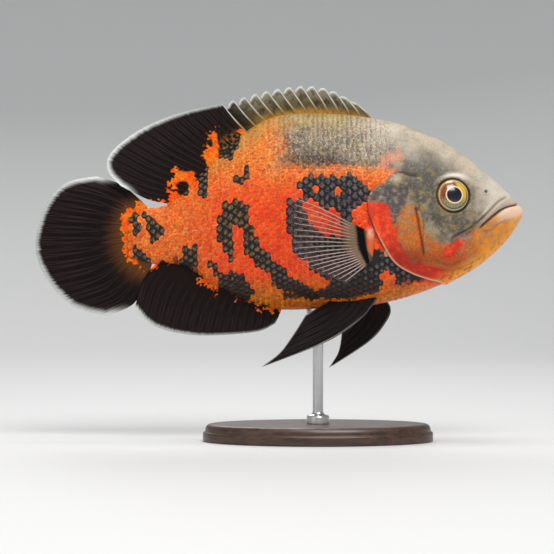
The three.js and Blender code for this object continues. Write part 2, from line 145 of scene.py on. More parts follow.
def lattice_noise(x: Array, z: Array, size: float, seed: int) -> Array:
    """Makes smooth seeded noise over the side view.

    Args:
        x: The points' x.
        z: The points' z.
        size: How wide its lumps are.
        seed: What the draw starts from.

    Returns:
        Values from -1 to 1.
    """
    cells, far_off = 64, 1000.0
    grid = np.random.default_rng(seed).uniform(-1, 1, (cells, cells))
    u, v = x / size + far_off, z / size + far_off
    i, j = np.floor(u).astype(int), np.floor(v).astype(int)
    a, b = smoothstep(u - i, 0.0, 1.0), smoothstep(v - j, 0.0, 1.0)
    west, east, south, north = i % cells, (i + 1) % cells, j % cells, (j + 1) % cells
    low = grid[west, south] * (1 - a) + grid[east, south] * a
    high = grid[west, north] * (1 - a) + grid[east, north] * a
    return low * (1 - b) + high * b


class NoseCourse:
    """A measure that runs from the blunt nose to the tail as a natural cubic curve."""

    def __init__(self, pairs: Pairs, nose: float) -> None:
        """Fits the curve.

        Args:
            pairs: The x and the value of each point on the curve, nose first.
            nose: The x of the nose.
        """
        self.nose = nose
        self.t = np.sqrt(np.maximum(nose - np.array([p[0] for p in pairs], float), 0))
        self.v = np.array([p[1] for p in pairs], float)
        n = len(pairs) - 1
        step = np.diff(self.t)
        slope = np.diff(self.v) / step
        matrix = np.eye(n + 1)
        right = np.zeros(n + 1)
        for i in range(1, n):
            matrix[i, i - 1 : i + 2] = step[i - 1], 2 * (step[i - 1] + step[i]), step[i]
            right[i] = 6 * (slope[i] - slope[i - 1])
        self.bend = np.linalg.solve(matrix, right)

    def __call__(self, x: Array) -> Array:
        """Reads the curve.

        Args:
            x: Where along the body.

        Returns:
            The measure there.
        """
        t = np.sqrt(np.maximum(self.nose - np.asarray(x, float), 0))
        i = np.clip(np.searchsorted(self.t, t) - 1, 0, len(self.t) - 2)
        h = self.t[i + 1] - self.t[i]
        a = (self.t[i + 1] - t) / h
        b = 1 - a
        bow = ((a**3 - a) * self.bend[i] + (b**3 - b) * self.bend[i + 1]) * h * h / 6
        return a * self.v[i] + b * self.v[i + 1] + bow


# Meshes


def put(name: str, data: Any) -> bpy.types.Object:
    """Puts a mesh, a lamp or a camera into the scene."""
    made = bpy.data.objects.new(name, data)
    bpy.context.scene.collection.objects.link(made)
    return made


def make_piece(
    name: str,
    points: Array,
    faces: Array,
    floats: dict[str, Array] | None = None,
    uvs: dict[str, Array] | None = None,
) -> bpy.types.Object:
    """Makes a smooth-shaded mesh object whose place is in its mesh.

    Args:
        name: The piece's name.
        points: Its points in millimetres.
        faces: Its faces, of four corners each.
        floats: Named values for each point.
        uvs: Named flat maps with a place for each point.

    Returns:
        The new object, linked to the scene.
    """
    mesh = bpy.data.meshes.new(name)
    mesh.vertices.add(len(points))
    mesh.vertices.foreach_set("co", (np.asarray(points, np.float32) * MM).ravel())
    mesh.loops.add(faces.size)
    mesh.loops.foreach_set("vertex_index", faces.astype(np.int32).ravel())
    mesh.polygons.add(len(faces))
    mesh.polygons.foreach_set("loop_start", np.arange(0, faces.size, faces.shape[1], dtype=np.int32))
    mesh.update(calc_edges=True)
    mesh.validate()
    mesh.shade_smooth()
    for key, values in (floats or {}).items():
        layer = mesh.attributes.new(key, "FLOAT", "POINT")
        layer.data.foreach_set("value", np.asarray(values, np.float32).ravel())
    corner = np.zeros(len(mesh.loops), np.int32)
    mesh.loops.foreach_get("vertex_index", corner)
    for key, places in (uvs or {}).items():
        layer = mesh.uv_layers.new(name=key)
        layer.data.foreach_set("uv", np.asarray(places, np.float32)[corner].ravel())
    return put(name, mesh)


def dress(piece: bpy.types.Object, material: bpy.types.Material, slot: str, *nodes: str) -> bpy.types.Object:
    """Turns a closed piece outwards, gives it its finish and fixes it to the one body.

    Args:
        piece: The piece.
        material: Its material.
        slot: The record's material slot; not used.
        *nodes: The nodes that it stands for.

    Returns:
        The piece.
    """
    mesh = piece.data
    mesh.calc_loop_triangles()
    corners = np.zeros(len(mesh.loop_triangles) * 3, np.int32)
    mesh.loop_triangles.foreach_get("vertices", corners)
    co = np.zeros(len(mesh.vertices) * 3, np.float32)
    mesh.vertices.foreach_get("co", co)
    tri = co.reshape(-1, 3)[corners.reshape(-1, 3)].astype(float)
    volume = np.einsum("ij,ij->i", tri[:, 0], np.cross(tri[:, 1], tri[:, 2])).sum()
    if volume < 0:
        mesh.flip_normals()
    if not mesh.materials:
        mesh.materials.append(material)
    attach(piece, "root")
    if nodes:
        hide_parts(*nodes)
    return piece


def grid_faces(rows: int, columns: int, closed: bool = False, start: int = 0) -> Array:
    """Numbers the four-sided faces of a grid of points.

    Args:
        rows: How many rows of points.
        columns: How many points in a row.
        closed: Whether each row closes on itself.
        start: The number of the first point.

    Returns:
        The faces, one to a row.
    """
    i = np.arange(rows - 1)[:, None] * columns
    j = np.arange(columns if closed else columns - 1)[None, :]
    k = (j + 1) % columns
    quads = np.stack([i + j, i + k, i + columns + k, i + columns + j], axis=-1)
    return quads.reshape(-1, 4) + start


def capped_faces(rows: int, around: int) -> Array:
    """Numbers the faces of a stack of rings that is closed at both ends.

    Args:
        rows: How many rings.
        around: How many points in a ring, an even number.

    Returns:
        The faces. The two end points, first and last, are numbered after the rings' points.
    """
    even = np.arange(0, around, 2)
    pole = np.full(len(even), rows * around)
    last = (rows - 1) * around
    near = np.stack([(even + 2) % around, even + 1, even, pole], axis=1)
    far = np.stack([last + even, last + even + 1, last + (even + 2) % around, pole + 1], axis=1)
    return np.vstack([grid_faces(rows, around, closed=True), near, far])


def level_ring(long: float, wide: float, z: float, around: int) -> Array:
    """Gives the points of a level oval.

    Args:
        long: Half its length along x.
        wide: Half its width along y.
        z: Its height.
        around: How many points.

    Returns:
        The points.
    """
    turn = np.arange(around) * 2 * math.pi / around
    return np.stack([long * np.cos(turn), wide * np.sin(turn), np.full(around, z)], axis=1)


def closed_sheet(near: Array, far: Array) -> tuple[Array, Array]:
    """Joins two like grids of points round their rim.

    Args:
        near: The near face's points, as rows by columns by 3.
        far: The far face's points, alike.

    Returns:
        The points and the faces of one closed body.
    """
    rows, columns = near.shape[:2]
    count = rows * columns
    front = grid_faces(rows, columns)
    rear = grid_faces(rows, columns, start=count)[:, ::-1]
    rim = [*range(columns)]
    rim += [r * columns + columns - 1 for r in range(1, rows)]
    rim += [(rows - 1) * columns + c for c in range(columns - 2, -1, -1)]
    rim += [r * columns for r in range(rows - 2, 0, -1)]
    a = np.array(rim)
    b = np.roll(a, -1)
    edge = np.stack([b, a, a + count, b + count], axis=1)
    return np.vstack([near.reshape(-1, 3), far.reshape(-1, 3)]), np.vstack([front, rear, edge])


# Shaders


def arithmetic(operation: str, reflected: bool = False) -> Callable[["Signal", Any], "Signal"]:
    """Makes a method of Signal from an operation of the Math node.

    Args:
        operation: The Math node's operation.
        reflected: Whether the signal is the second of the two values.

    Returns:
        The method.
    """

    def method(self: "Signal", other: Any) -> "Signal":
        """Adds the Math node for this signal and another value."""
        return self.compute(operation, other, self) if reflected else self.compute(operation, self, other)

    return method


class Signal:
    """A shader socket that takes part in Python arithmetic."""

    __add__, __radd__ = arithmetic("ADD"), arithmetic("ADD", reflected=True)
    __sub__, __rsub__ = arithmetic("SUBTRACT"), arithmetic("SUBTRACT", reflected=True)
    __mul__, __rmul__ = arithmetic("MULTIPLY"), arithmetic("MULTIPLY", reflected=True)
    __truediv__, __rtruediv__ = arithmetic("DIVIDE"), arithmetic("DIVIDE", reflected=True)
    __pow__, __rpow__ = arithmetic("POWER"), arithmetic("POWER", reflected=True)
    at_least, at_most = arithmetic("MAXIMUM"), arithmetic("MINIMUM")

    def __init__(self, tree: "Shader", socket: bpy.types.NodeSocket) -> None:
        """Wraps a socket of a shader."""
        self.tree = tree
        self.socket = socket

    def compute(self, operation: str, *values: Any) -> "Signal":
        """Adds a Math node."""
        return self.tree.node("ShaderNodeMath", {"operation": operation}, dict(enumerate(values)))

    def sine(self) -> "Signal":
        """Gives the sine."""
        return self.compute("SINE", self)

    def size(self) -> "Signal":
        """Drops the sign."""
        return self.compute("ABSOLUTE", self)

    def ramp(self, low: float, high: float) -> "Signal":
        """Rises smoothly from 0 at low to 1 at high."""
        settings = {"interpolation_type": "SMOOTHSTEP"}
        return self.tree.node("ShaderNodeMapRange", settings, {0: self, 1: low, 2: high})


class Shader:
    """A material's node tree, with one method that adds any node."""

    def __init__(self, name: str) -> None:
        """Starts a material with a Principled shader."""
        self.material = bpy.data.materials.new(name)
        self.material.use_nodes = True
        self.nodes = self.material.node_tree.nodes
        self.links = self.material.node_tree.links
        self.surface = self.nodes["Principled BSDF"]

    def node(
        self,
        kind: str,
        settings: dict[str, Any] | None = None,
        values: dict[Any, Any] | None = None,
        out: Any = 0,
    ) -> Signal:
        """Adds a node.

        Args:
            kind: The node's type.
            settings: Its own settings, which are set first.
            values: Numbers, colours or signals for its sockets, by name or number.
            out: The name or number of the socket to read.

        Returns:
            The chosen output.
        """
        made = self.nodes.new(kind)
        for key, value in (settings or {}).items():
            setattr(made, key, value)
        for key, value in (values or {}).items():
            self.feed(made.inputs[key], value)
        return Signal(self, made.outputs[out])

    def feed(self, socket: bpy.types.NodeSocket, value: Any) -> None:
        """Fills a socket.

        Args:
            socket: The socket.
            value: A number, a colour, a vector or a signal.
        """
        if isinstance(value, Signal):
            self.links.new(value.socket, socket)
        elif isinstance(value, tuple) and len(value) == 3 and socket.type == "RGBA":
            socket.default_value = (*value, 1.0)
        else:
            socket.default_value = value

    def attribute(self, name: str) -> Signal:
        """Reads a piece's own float attribute."""
        return self.node("ShaderNodeAttribute", {"attribute_name": name}, out="Fac")

    def place(self) -> Signal:
        """Reads Object coordinates."""
        return self.node("ShaderNodeTexCoord", out="Object")

    def axis(self, name: str, vector: Signal | None = None) -> Signal:
        """Reads one axis of Object coordinates, or of another vector."""
        return self.node("ShaderNodeSeparateXYZ", None, {0: vector or self.place()}, name)

    def moved(self, by: float) -> Signal:
        """Reads Object coordinates moved aside, for a noise of its own."""
        values = {"Vector": self.place(), "Location": (by, by, by)}
        return self.node("ShaderNodeMapping", None, values, "Vector")

    def stretched(self, scale: Colour, vector: Signal | None = None) -> Signal:
        """Scales Object coordinates, or another vector, for a noise that runs along them."""
        values = {"Vector": vector or self.place(), "Scale": scale}
        return self.node("ShaderNodeMapping", None, values, "Vector")

    def noise(
        self, scale: float, detail: float = 3.0, vector: Signal | None = None, rough: float = 0.55
    ) -> Signal:
        """Makes noise over Object coordinates, or over another vector."""
        values = {"Vector": vector or self.place(), "Scale": scale, "Detail": detail, "Roughness": rough}
        return self.node("ShaderNodeTexNoise", None, values, "Fac")

    def mix(self, share: Any, low: Any, high: Any, blend: str = "MIX") -> Signal:
        """Mixes two colours by a share."""
        settings = {"data_type": "RGBA", "blend_type": blend}
        return self.node("ShaderNodeMix", settings, {0: share, 6: low, 7: high}, 2)

    def shade(self, share: Any, colour: Any, by: Any) -> Signal:
        """Multiplies a colour by another, by a share."""
        return self.mix(share, colour, by, "MULTIPLY")

    def broken(self, zone: Signal, grain: Signal, amount: float = 0.9, soft: float = 0.18) -> Signal:
        """Breaks a zone's blurred edge into flecks with a noise, and leaves it as soft as told."""
        return (zone + (grain - 0.5) * amount).ramp(0.5 - soft, 0.5 + soft)

    def bump(self, height: Signal, distance: float, strength: float) -> Signal:
        """Turns a height into a normal."""
        values = {"Height": height, "Distance": distance, "Strength": strength}
        return self.node("ShaderNodeBump", None, values)

    def finish(self, **sockets: Any) -> bpy.types.Material:
        """Feeds the Principled shader's sockets.

        Args:
            **sockets: Values or signals by socket name, with _ for a space.

        Returns:
            The finished material.
        """
        for key, value in sockets.items():
            name = key.replace("_", " ").title().replace("Ior", "IOR")
            self.feed(self.surface.inputs[name], value)
        return self.material


# The body


@dataclass(frozen=True)
class Groove:
    """A groove in the skin, along a line of the side view."""

    line: Pairs
    spaces: int
    depth: float
    width: float
    start: float = 0.0
    end: float = 1.0

    def opening(self, x: Array, z: Array) -> Array:
        """Tells how open the groove is.

        Args:
            x: The points' x.
            z: The points' z.

        Returns:
            A share from 0 to 1, which fades at both ends of the line.
        """
        away, at = distance_to_line(x, z, smooth_line(self.line, self.spaces))
        begun = smoothstep(at, self.start - 0.01, self.start + 0.12)
        return bell(away, 0, self.width) * (begun * (1 - smoothstep(at, self.end - 0.12, self.end + 0.01)))


@dataclass
class BodyForm:
    """The outlines and girth of the body, and the lines of its head, in the side view."""

    nose: float = 117.5
    stem_end: float = -107.0
    back_line: Pairs = (
        (117.5, 131), (116.5, 133.4), (113.9, 136.8), (107.3, 143.7), (92.7, 156.9), (76.5, 168.6),
        (57.5, 178.4), (29, 186), (-4.6, 188.5), (-21.8, 187.2), (-33.3, 183), (-44.8, 175.4),
        (-64.8, 156.6), (-82, 138.9), (-91, 134.8), (-99, 134), (-107, 129),
    )
    belly_line: Pairs = (
        (117.5, 131), (116.5, 127.6), (113.6, 122.6), (107.7, 114.6), (91.2, 99.8), (70, 88.4),
        (47, 80.9), (24, 76.6), (-10, 75), (-24, 75.3), (-39.8, 79.8), (-61.5, 89.8),
        (-73.4, 97.6), (-84, 101.2), (-95, 101), (-107, 105),
    )
    half_widths: Pairs = (
        (117.5, 0), (116, 5), (113, 8.2), (107, 11.6), (98, 14.6), (85, 17.6), (70, 20.4), (50, 23.6),
        (30, 24.9), (10, 24.5), (-15, 22.3), (-40, 18.2), (-62, 12.8), (-82, 8), (-97, 5.4), (-107, 3.4),
    )
    widest_line: Pairs = (
        (117.5, 131), (105, 127.5), (85, 124.5), (60, 124), (30, 128), (0, 131), (-40, 128),
        (-70, 120.5), (-107, 117),
    )
    powers_above: Pairs = (
        (117.5, 2.2), (100, 2.1), (77, 2.1), (50, 1.95), (10, 1.78), (-40, 1.72), (-80, 1.9), (-107, 2.2),
    )
    powers_below: Pairs = (
        (117.5, 2.2), (90, 2), (60, 1.9), (20, 1.95), (-10, 1.9), (-50, 1.8), (-107, 2.2),
    )
    gill_line: Pairs = (
        (41, 152), (38.5, 149.5), (36.7, 147.5), (30.4, 143.3), (27.6, 138), (27.4, 133), (29, 127),
        (34.4, 114.9), (42.3, 102.5), (52, 96.2), (62.4, 92.6), (69, 91), (74, 88), (76, 82),
    )
    mouth_line: Pairs = (
        (121, 136.1), (113.8, 135.5), (107.1, 133.8), (102.3, 131.1), (95.8, 126.1), (91.5, 121.8),
        (90.3, 119.6),
    )
    upper_lip_line: Pairs = (
        (88.6, 122.6), (92.8, 126.7), (96.6, 130.3), (100.6, 133.8), (105.2, 136.6), (111.2, 137.8),
        (121, 137.9),
    )
    lower_lip_line: Pairs = (
        (92, 119), (97, 123.6), (101, 126.8), (106, 129.7), (111, 131.4), (114.7, 132.2), (121, 132.6),
    )
    upper_fold_line: Pairs = (
        (109.2, 140.9), (107.3, 139.9), (101.6, 136.3), (95.8, 130.6), (90.1, 125.3), (84.3, 120.9),
        (77.2, 117.2), (73.5, 115.2),
    )
    lower_fold_line: Pairs = (
        (107.4, 126.4), (105.9, 126.1), (102, 124.2), (98.7, 121.6), (94.4, 119.9), (92.6, 121.4),
    )
    slit_line: Pairs = ((54.6, 133), (55.2, 130), (56, 126), (57.2, 119), (58.6, 112), (59.6, 104.5))
    twin_slit_line: Pairs = ((56.2, 132.4), (58.2, 128.5), (59, 122), (58.2, 114), (57, 107.5))
    jaw_fold_line: Pairs = ((64, 105.5), (67.1, 103), (73.6, 100.8), (79, 102.6), (85, 104.6))
    throat_fold_line: Pairs = ((58, 101.5), (66, 98.6), (76, 98), (86, 101.5), (97, 108.5))
    ear_crack_line: Pairs = ((41.5, 151.8), (45, 153), (48.5, 152.4), (52, 151), (55.5, 151.2), (58, 150.6))
    eye: tuple[float, float] = (76.1, 140.2)
    eye_rim: float = 10.9
    nostril: tuple[float, float] = (95.2, 142.6)
    cover_top: float = 152.0
    coat_depth: float = 0.42

    def __post_init__(self) -> None:
        """Fits the courses and smooths the lines."""
        self.back = NoseCourse(self.back_line, self.nose)
        self.belly = NoseCourse(self.belly_line, self.nose)
        self.half = NoseCourse(self.half_widths, self.nose)
        self.widest = NoseCourse(self.widest_line, self.nose)
        self.power_above = NoseCourse(self.powers_above, self.nose)
        self.power_below = NoseCourse(self.powers_below, self.nose)
        self.gill = smooth_line(self.gill_line, 60)
        self.mouth = smooth_line(self.mouth_line, 48)
        self.upper_lip = smooth_line(self.upper_lip_line, 40)
        self.lower_lip = smooth_line(self.lower_lip_line, 40)
        self.grooves = (
            Groove(self.mouth_line, 48, 1.7, 0.55, -0.2, 0.98),
            Groove(self.upper_fold_line, 40, 0.95, 0.7),
            Groove(self.lower_fold_line, 30, 0.4, 0.5),
            Groove(self.slit_line, 30, 1.0, 0.62, -0.12),
            Groove(self.twin_slit_line, 24, 0.45, 0.42, -0.12),
            Groove(self.jaw_fold_line, 20, 0.35, 0.55),
            Groove(self.throat_fold_line, 24, 0.3, 0.6),
            Groove(self.ear_crack_line, 20, 0.9, 0.5),
        )

    def section(self, x: Array, turn: Array) -> Array:
        """Gives points of the plain body.

        Args:
            x: Where along the body.
            turn: The angle round the section, 0 at the top and a half turn at the bottom.

        Returns:
            The points, with a last axis of 3.
        """
        x, turn = np.broadcast_arrays(x, turn)
        rise = np.cos(turn)
        above = rise > 0
        mid = self.widest(x)
        power = np.where(above, self.power_above(x), self.power_below(x))
        height = np.where(above, self.back(x) - mid, mid - self.belly(x))
        across = np.sign(np.sin(turn)) * np.abs(np.sin(turn)) ** (2 / power)
        up = np.sign(rise) * np.abs(rise) ** (2 / power)
        return np.stack([x, self.half(x) * across, mid + height * up], axis=-1)

    def flank_at(self, x: Array, z: Array) -> Array:
        """Measures how far the plain flank stands out from the middle plane.

        Args:
            x: Where along the body.
            z: At what height.

        Returns:
            The distance, without a sign.
        """
        mid = self.widest(x)
        above = z > mid
        share = np.abs((z - mid) / (np.where(above, self.back(x), self.belly(x)) - mid))
        power = np.where(above, self.power_above(x), self.power_below(x))
        return self.half(x) * np.maximum(1 - share**power, 0) ** (1 / power)

    def seat(self, place: tuple[float, float], side: Side) -> tuple[Array, Array]:
        """Finds a place on the plain head.

        Args:
            place: Its x and z.
            side: The side of the fish.

        Returns:
            The place and the outward direction there.
        """
        x, z = np.array(place[0]), np.array(place[1])
        along = self.flank_at(x + 0.5, z) - self.flank_at(x - 0.5, z)
        rise = self.flank_at(x, z + 0.5) - self.flank_at(x, z - 0.5)
        normal = np.array([-along, side.value, -rise], float)
        spot = np.array([x, side.value * self.flank_at(x, z), z], float)
        return spot, normal / np.linalg.norm(normal)

    def round_seat(self, p: Array, place: tuple[float, float]) -> Array:
        """Measures how far points lie from the axis of the eye or the nostril.

        Args:
            p: Points of the plain body.
            place: The x and z of the eye or the nostril.

        Returns:
            The distances, each from the axis on the point's own side.
        """
        radius = np.full(p.shape[:-1], 1e3)
        for side in Side:
            spot, normal = self.seat(place, side)
            away = p - spot
            off = np.linalg.norm(away - (away @ normal)[..., None] * normal, axis=-1)
            radius = np.where(p[..., 1] * side.value > 0, off, radius)
        return radius

    def fin_seat(self, x: Array, z: Array) -> Array:
        """Tells where the fleshy seat of the breast fin swells, from 0 to 1."""
        return np.exp(-(((x - 28.8 - 0.06 * (z - 112)) / 2.3) ** 4) - ((z - 112.5) / 8.5) ** 4)

    def behind_gills(self, x: Array, z: Array) -> tuple[Array, Array, Array]:
        """Measures the free edge of the gill cover.

        Args:
            x: The points' x.
            z: The points' z.

        Returns:
            The distance ahead of the edge, the share of its length, and how free the edge is.
        """
        ahead, place = distance_to_line(x, z, self.gill)
        free = smoothstep(place, 0.03, 0.16) * (1 - smoothstep(place, 0.88, 0.97))
        return ahead, place, free

    def trunk_relief(self, x: Array, z: Array) -> Array:
        """Sinks the trunk's skin by the depth of its coat, and more where the gill cover lies over it."""
        ahead, _, free = self.behind_gills(x, z)
        return -self.coat_depth - 0.85 * free * np.exp(-np.abs(ahead) / 9)

    def scaled(self, x: Array, z: Array) -> Array:
        """Tells where the coat of scales grows.

        Args:
            x: The points' x.
            z: The points' z.

        Returns:
            A share from 0 to 1.
        """
        ahead, _ = distance_to_line(x, z, self.gill)
        nape = 1 - smoothstep(x, 39, 46)
        seat = np.hypot((x - 31) / 5.5, (z - 111.5) / 8.5) < 1
        return np.where(z > self.cover_top, nape, np.where((ahead < 0) & ~seat, 1.0, 0.0))

    def relief(self, p: Array) -> tuple[Array, Array]:
        """Raises and sinks the skin.

        Args:
            p: Points of the plain body.

        Returns:
            How far each point moves outwards, and how much painted shade it gets in the folds, from 0 to 1.
        """
        x, z = p[..., 0], p[..., 2]
        ahead, _, free = self.behind_gills(x, z)
        cover = smoothstep(ahead, -0.25, 0.25)
        nape = smoothstep(x, 40, 47) * (z > self.cover_top)
        bare = np.where(z > self.cover_top, nape, cover)
        rise = free * cover * 0.55 * np.exp(-np.abs(ahead) / 7) + (1 - bare) * self.trunk_relief(x, z)
        # Painted shade of the folds: under the gill cover's free edge, in the grooves, at the top of the gill
        # slit and round the eye and the nostril.
        crease = free * (ahead < 0) * np.exp(-np.abs(ahead) / 1.3)
        for line, height, width in ((self.upper_lip, 1.35, 2.8), (self.lower_lip, 1.3, 3.3)):
            away, at = distance_to_line(x, z, line)
            swell = np.maximum(1 - (away / width) ** 2, 0)
            rise = rise + height * swell * smoothstep(at, 0, 0.25) * (1 - 0.8 * smoothstep(x, 104, 112))
        for groove in self.grooves:
            opening = groove.opening(x, z)
            rise = rise - groove.depth * opening
            crease = np.maximum(crease, opening * min(groove.depth, 1.0))
        slit_top = bell(x, 55.6, 1.3) * bell(z, 132.2, 1.0)
        ear_dome = bell(x, 44.5, 6.0) * bell(z, 146.8, 3.6)
        cheek = bell(x, 70, 10) * bell(z, 117, 8)
        seat = self.fin_seat(x, z) * (1 - cover)
        rise = rise - 0.7 * slit_top + 1.5 * ear_dome + 0.5 * cheek + 2.0 * seat
        crease = np.maximum(crease, slit_top)
        r = self.round_seat(p, self.eye)
        rise = rise + 0.8 * bell(r, self.eye_rim, 1.1) - 3.4 * (1 - smoothstep(r, 9.0, 10.1))
        crease = np.maximum(crease, bell(r, 9.7, 0.5))
        r = self.round_seat(p, self.nostril)
        rise = rise + 0.45 * bell(r, 1.5, 0.5) - 1.4 * (1 - smoothstep(r, 0.5, 1.1))
        crease = np.maximum(crease, 1 - smoothstep(r, 0.5, 1.0))
        return rise, np.clip(crease, 0, 1)


# Markings


@dataclass
class Markings:
    """The colour zones that the skin, the scales and the bases of the fins all carry."""

    form: BodyForm
    blotches: dict[str, Pairs] = field(default_factory=lambda: {
        "shoulder": (
            (-12, 145.5), (-4.5, 149.5), (8, 150.5), (20, 151.5), (24.5, 146.5), (28, 141.5), (24.5, 135.5),
            (19.5, 132), (18.5, 124.5), (14, 124), (12.5, 131), (4.5, 133), (-0.5, 136.5), (-7.5, 139),
        ),
        "armpit": (
            (-16, 140), (-10.5, 137), (-7, 132), (-6, 126), (-4, 121), (3, 118.5), (10, 117), (17, 116.5),
            (25, 114), (29, 106), (22, 99), (12, 96), (5.5, 93), (0, 96.5), (-8, 103.5), (-12.5, 107),
            (-15, 113), (-16.5, 127),
        ),
        "arch_rear": (
            (-56.5, 130), (-53, 135), (-48, 136.5), (-46.5, 130), (-49, 123.5), (-47.5, 114.5),
            (-47.5, 103.5), (-49.5, 103), (-54, 111), (-57, 120),
        ),
        "arch_front": (
            (-47, 136.5), (-42, 138), (-39, 135), (-37, 126.5), (-34, 117.5), (-31, 111), (-24, 102.5),
            (-16.5, 96.5), (-7.5, 90.5), (-1, 85.5), (4.5, 83.5), (-2, 81), (-13, 84.5), (-22, 88),
            (-27, 93.5), (-32.5, 100), (-40, 105.5), (-42, 111), (-41, 116.5), (-44.5, 123.5), (-46.3, 129),
        ),
        "back": (
            (-57.5, 177.5), (-53, 181), (-47.5, 178.5), (-44, 173), (-46.5, 168.5), (-48.5, 163),
            (-52, 160), (-56.5, 163), (-57.5, 170),
        ),
        "rear_back": (
            (-83, 162), (-75, 166), (-69.5, 166), (-64, 160.5), (-62.5, 154.5), (-64, 146.5), (-62.5, 143),
            (-65, 140), (-68, 143), (-69.5, 150), (-72, 154.5), (-77.5, 154.5), (-80.5, 156.5),
        ),
        "eye_spot": (
            (-81, 146.5), (-78, 148.5), (-74.5, 147), (-74, 143.5), (-75.5, 140.5), (-79, 140),
            (-81.5, 142.5),
        ),
        "back_dot": ((-63.6, 171), (-62, 172.8), (-60.2, 171), (-61.8, 169.2)),
        "fleck": ((-47, 151), (-43.5, 152), (-42, 156), (-39, 154.5), (-39, 149.5), (-43, 147), (-47, 147.5)),
        "tail_spot": (
            (-107.5, 126.5), (-105, 130.5), (-101.5, 127.5), (-101.5, 119), (-104, 116.5), (-107, 121),
        ),
        "tail_patch": (
            (-100, 130), (-95.5, 129.5), (-91.5, 124.5), (-88.5, 122), (-89, 116.5), (-91.5, 113.5),
            (-95.5, 116.5), (-98, 123.5),
        ),
        "vent": (
            (-77, 114), (-74, 114.5), (-71.5, 111), (-69, 109), (-70, 103), (-72, 99), (-77, 99),
            (-77.5, 106),
        ),
        "anal_base": (
            (-64, 104.5), (-59.5, 102.5), (-56.5, 98), (-52, 95.5), (-47.5, 96.5), (-42, 93.5), (-37.5, 88),
            (-38.5, 82.5), (-43, 80), (-47.5, 83.5), (-53, 81), (-57.5, 88), (-56.5, 93.5), (-62, 100),
        ),
        "belly": (
            (-20, 86), (-8.5, 84.5), (2.5, 88.5), (8, 95), (14, 101), (20, 107), (30, 112), (38, 106),
            (45, 101), (52, 98), (58, 96), (62.5, 93.5), (58, 91.5), (50, 90), (42, 88.5), (36, 86),
            (28, 83.5), (20, 82), (8, 81.5), (-4, 81.5), (-14, 82), (-20, 82.5),
        ),
        "tail_low": ((-106.5, 114.5), (-101.5, 111), (-97, 105.5), (-95.5, 101), (-99.5, 99), (-104, 105.5)),
    })
    embers: dict[str, Pairs] = field(default_factory=lambda: {
        "shoulder_dot": ((8.5, 142), (10.5, 144), (12, 142), (11.5, 139), (9.3, 138.6)),
        "small_dot": ((-2, 144.5), (-0.5, 146), (0.8, 144.3), (-0.5, 142.8)),
        "cheek": ((72, 108), (74, 112), (78.5, 115.5), (83, 115), (81.5, 110.5), (77, 106), (73, 104.5)),
        "throat": ((35, 96), (38, 99), (41.5, 97), (43, 90), (42, 84), (36, 83), (35, 89)),
    })
    patches: dict[str, Pairs] = field(default_factory=lambda: {
        "amber": (
            (46, 134), (54, 135), (57, 128), (61, 119.5), (68, 113.5), (76, 111.5), (84, 115), (89, 120),
            (96, 117), (103, 106), (90, 92), (70, 84), (55, 86), (40, 98), (36, 112), (42, 124),
        ),
        "dusk_cheek": (
            (60, 132), (64, 140), (67, 132), (72, 129), (82, 129), (89, 125), (85, 119), (77, 116), (70, 119),
            (64, 124),
        ),
        "dusk_ear": (
            (46, 150), (50, 162), (60, 167), (69, 161), (72, 152), (65, 146), (62, 137), (56, 136), (51, 142),
        ),
        "slate": (
            (29, 139.5), (34, 145), (41.5, 145.5), (49, 144), (50, 137), (45, 128), (43, 117), (47, 112),
            (44, 110), (40, 120), (38, 132), (34, 135.5), (30, 137),
        ),
        "pale": (
            (91, 122.5), (98.5, 127.5), (106, 132), (113, 136), (121, 138), (121, 128), (116, 120),
            (107.5, 109.5), (101.5, 105), (96, 106), (91.5, 110), (89, 117.5),
        ),
        "blush": (
            (33.5, 158.5), (36.5, 162), (40.5, 165.5), (47, 165), (47, 160.5), (41.5, 157), (35.5, 156.5),
        ),
    })
    fin_reach: Pairs = (
        (-30, 205), (-34, 186), (-40, 181.5), (-46, 179), (-54, 177.5), (-60, 175.5), (-65.5, 168),
        (-71, 161), (-79, 158.5), (-84, 153), (-84, 145), (-86, 138), (-97, 137), (-107, 136),
        (-112, 130), (-113, 120),
        (-111, 111), (-105, 102), (-95, 99), (-86, 104), (-76, 102.5), (-70, 99), (-66, 90), (-60, 86.5),
        (-52, 85), (-40, 79.5), (-30, 75.5), (-20, 73), (-10, 60),
    )
    body_block: Pairs = ((0, 50), (135, 55), (135, 215), (0, 215))
    side_line: Pairs = (
        (36, 151), (22, 154.6), (8, 154.5), (-8, 153.6), (-20, 152), (-37, 149), (-50, 145.5), (-62, 138),
    )
    stem_line: Pairs = ((-58, 124), (-70, 121), (-84, 118.5), (-100, 117.5))
    belly_blur: float = 2.6
    far_side_shift: float = 40.0

    def depth_in(self, x: Array, z: Array, outline: Pairs, count: int = 44) -> Array:
        """Measures how deep points lie inside a closed outline.

        Args:
            x: The points' x.
            z: The points' z.
            outline: The outline's corners.
            count: How many spaces to smooth it into.

        Returns:
            The distance from the outline, negative outside.
        """
        ring = smooth_line([*outline, outline[0]], count)
        d = np.abs(distance_to_line(x, z, ring)[0])
        inside = np.zeros(x.shape, bool)
        for (ax, az), (bx, bz) in zip(ring[:-1], ring[1:]):
            if az != bz:
                inside ^= ((az > z) != (bz > z)) & (x < (bx - ax) * (z - az) / (bz - az) + ax)
        return np.where(inside, d, -d)

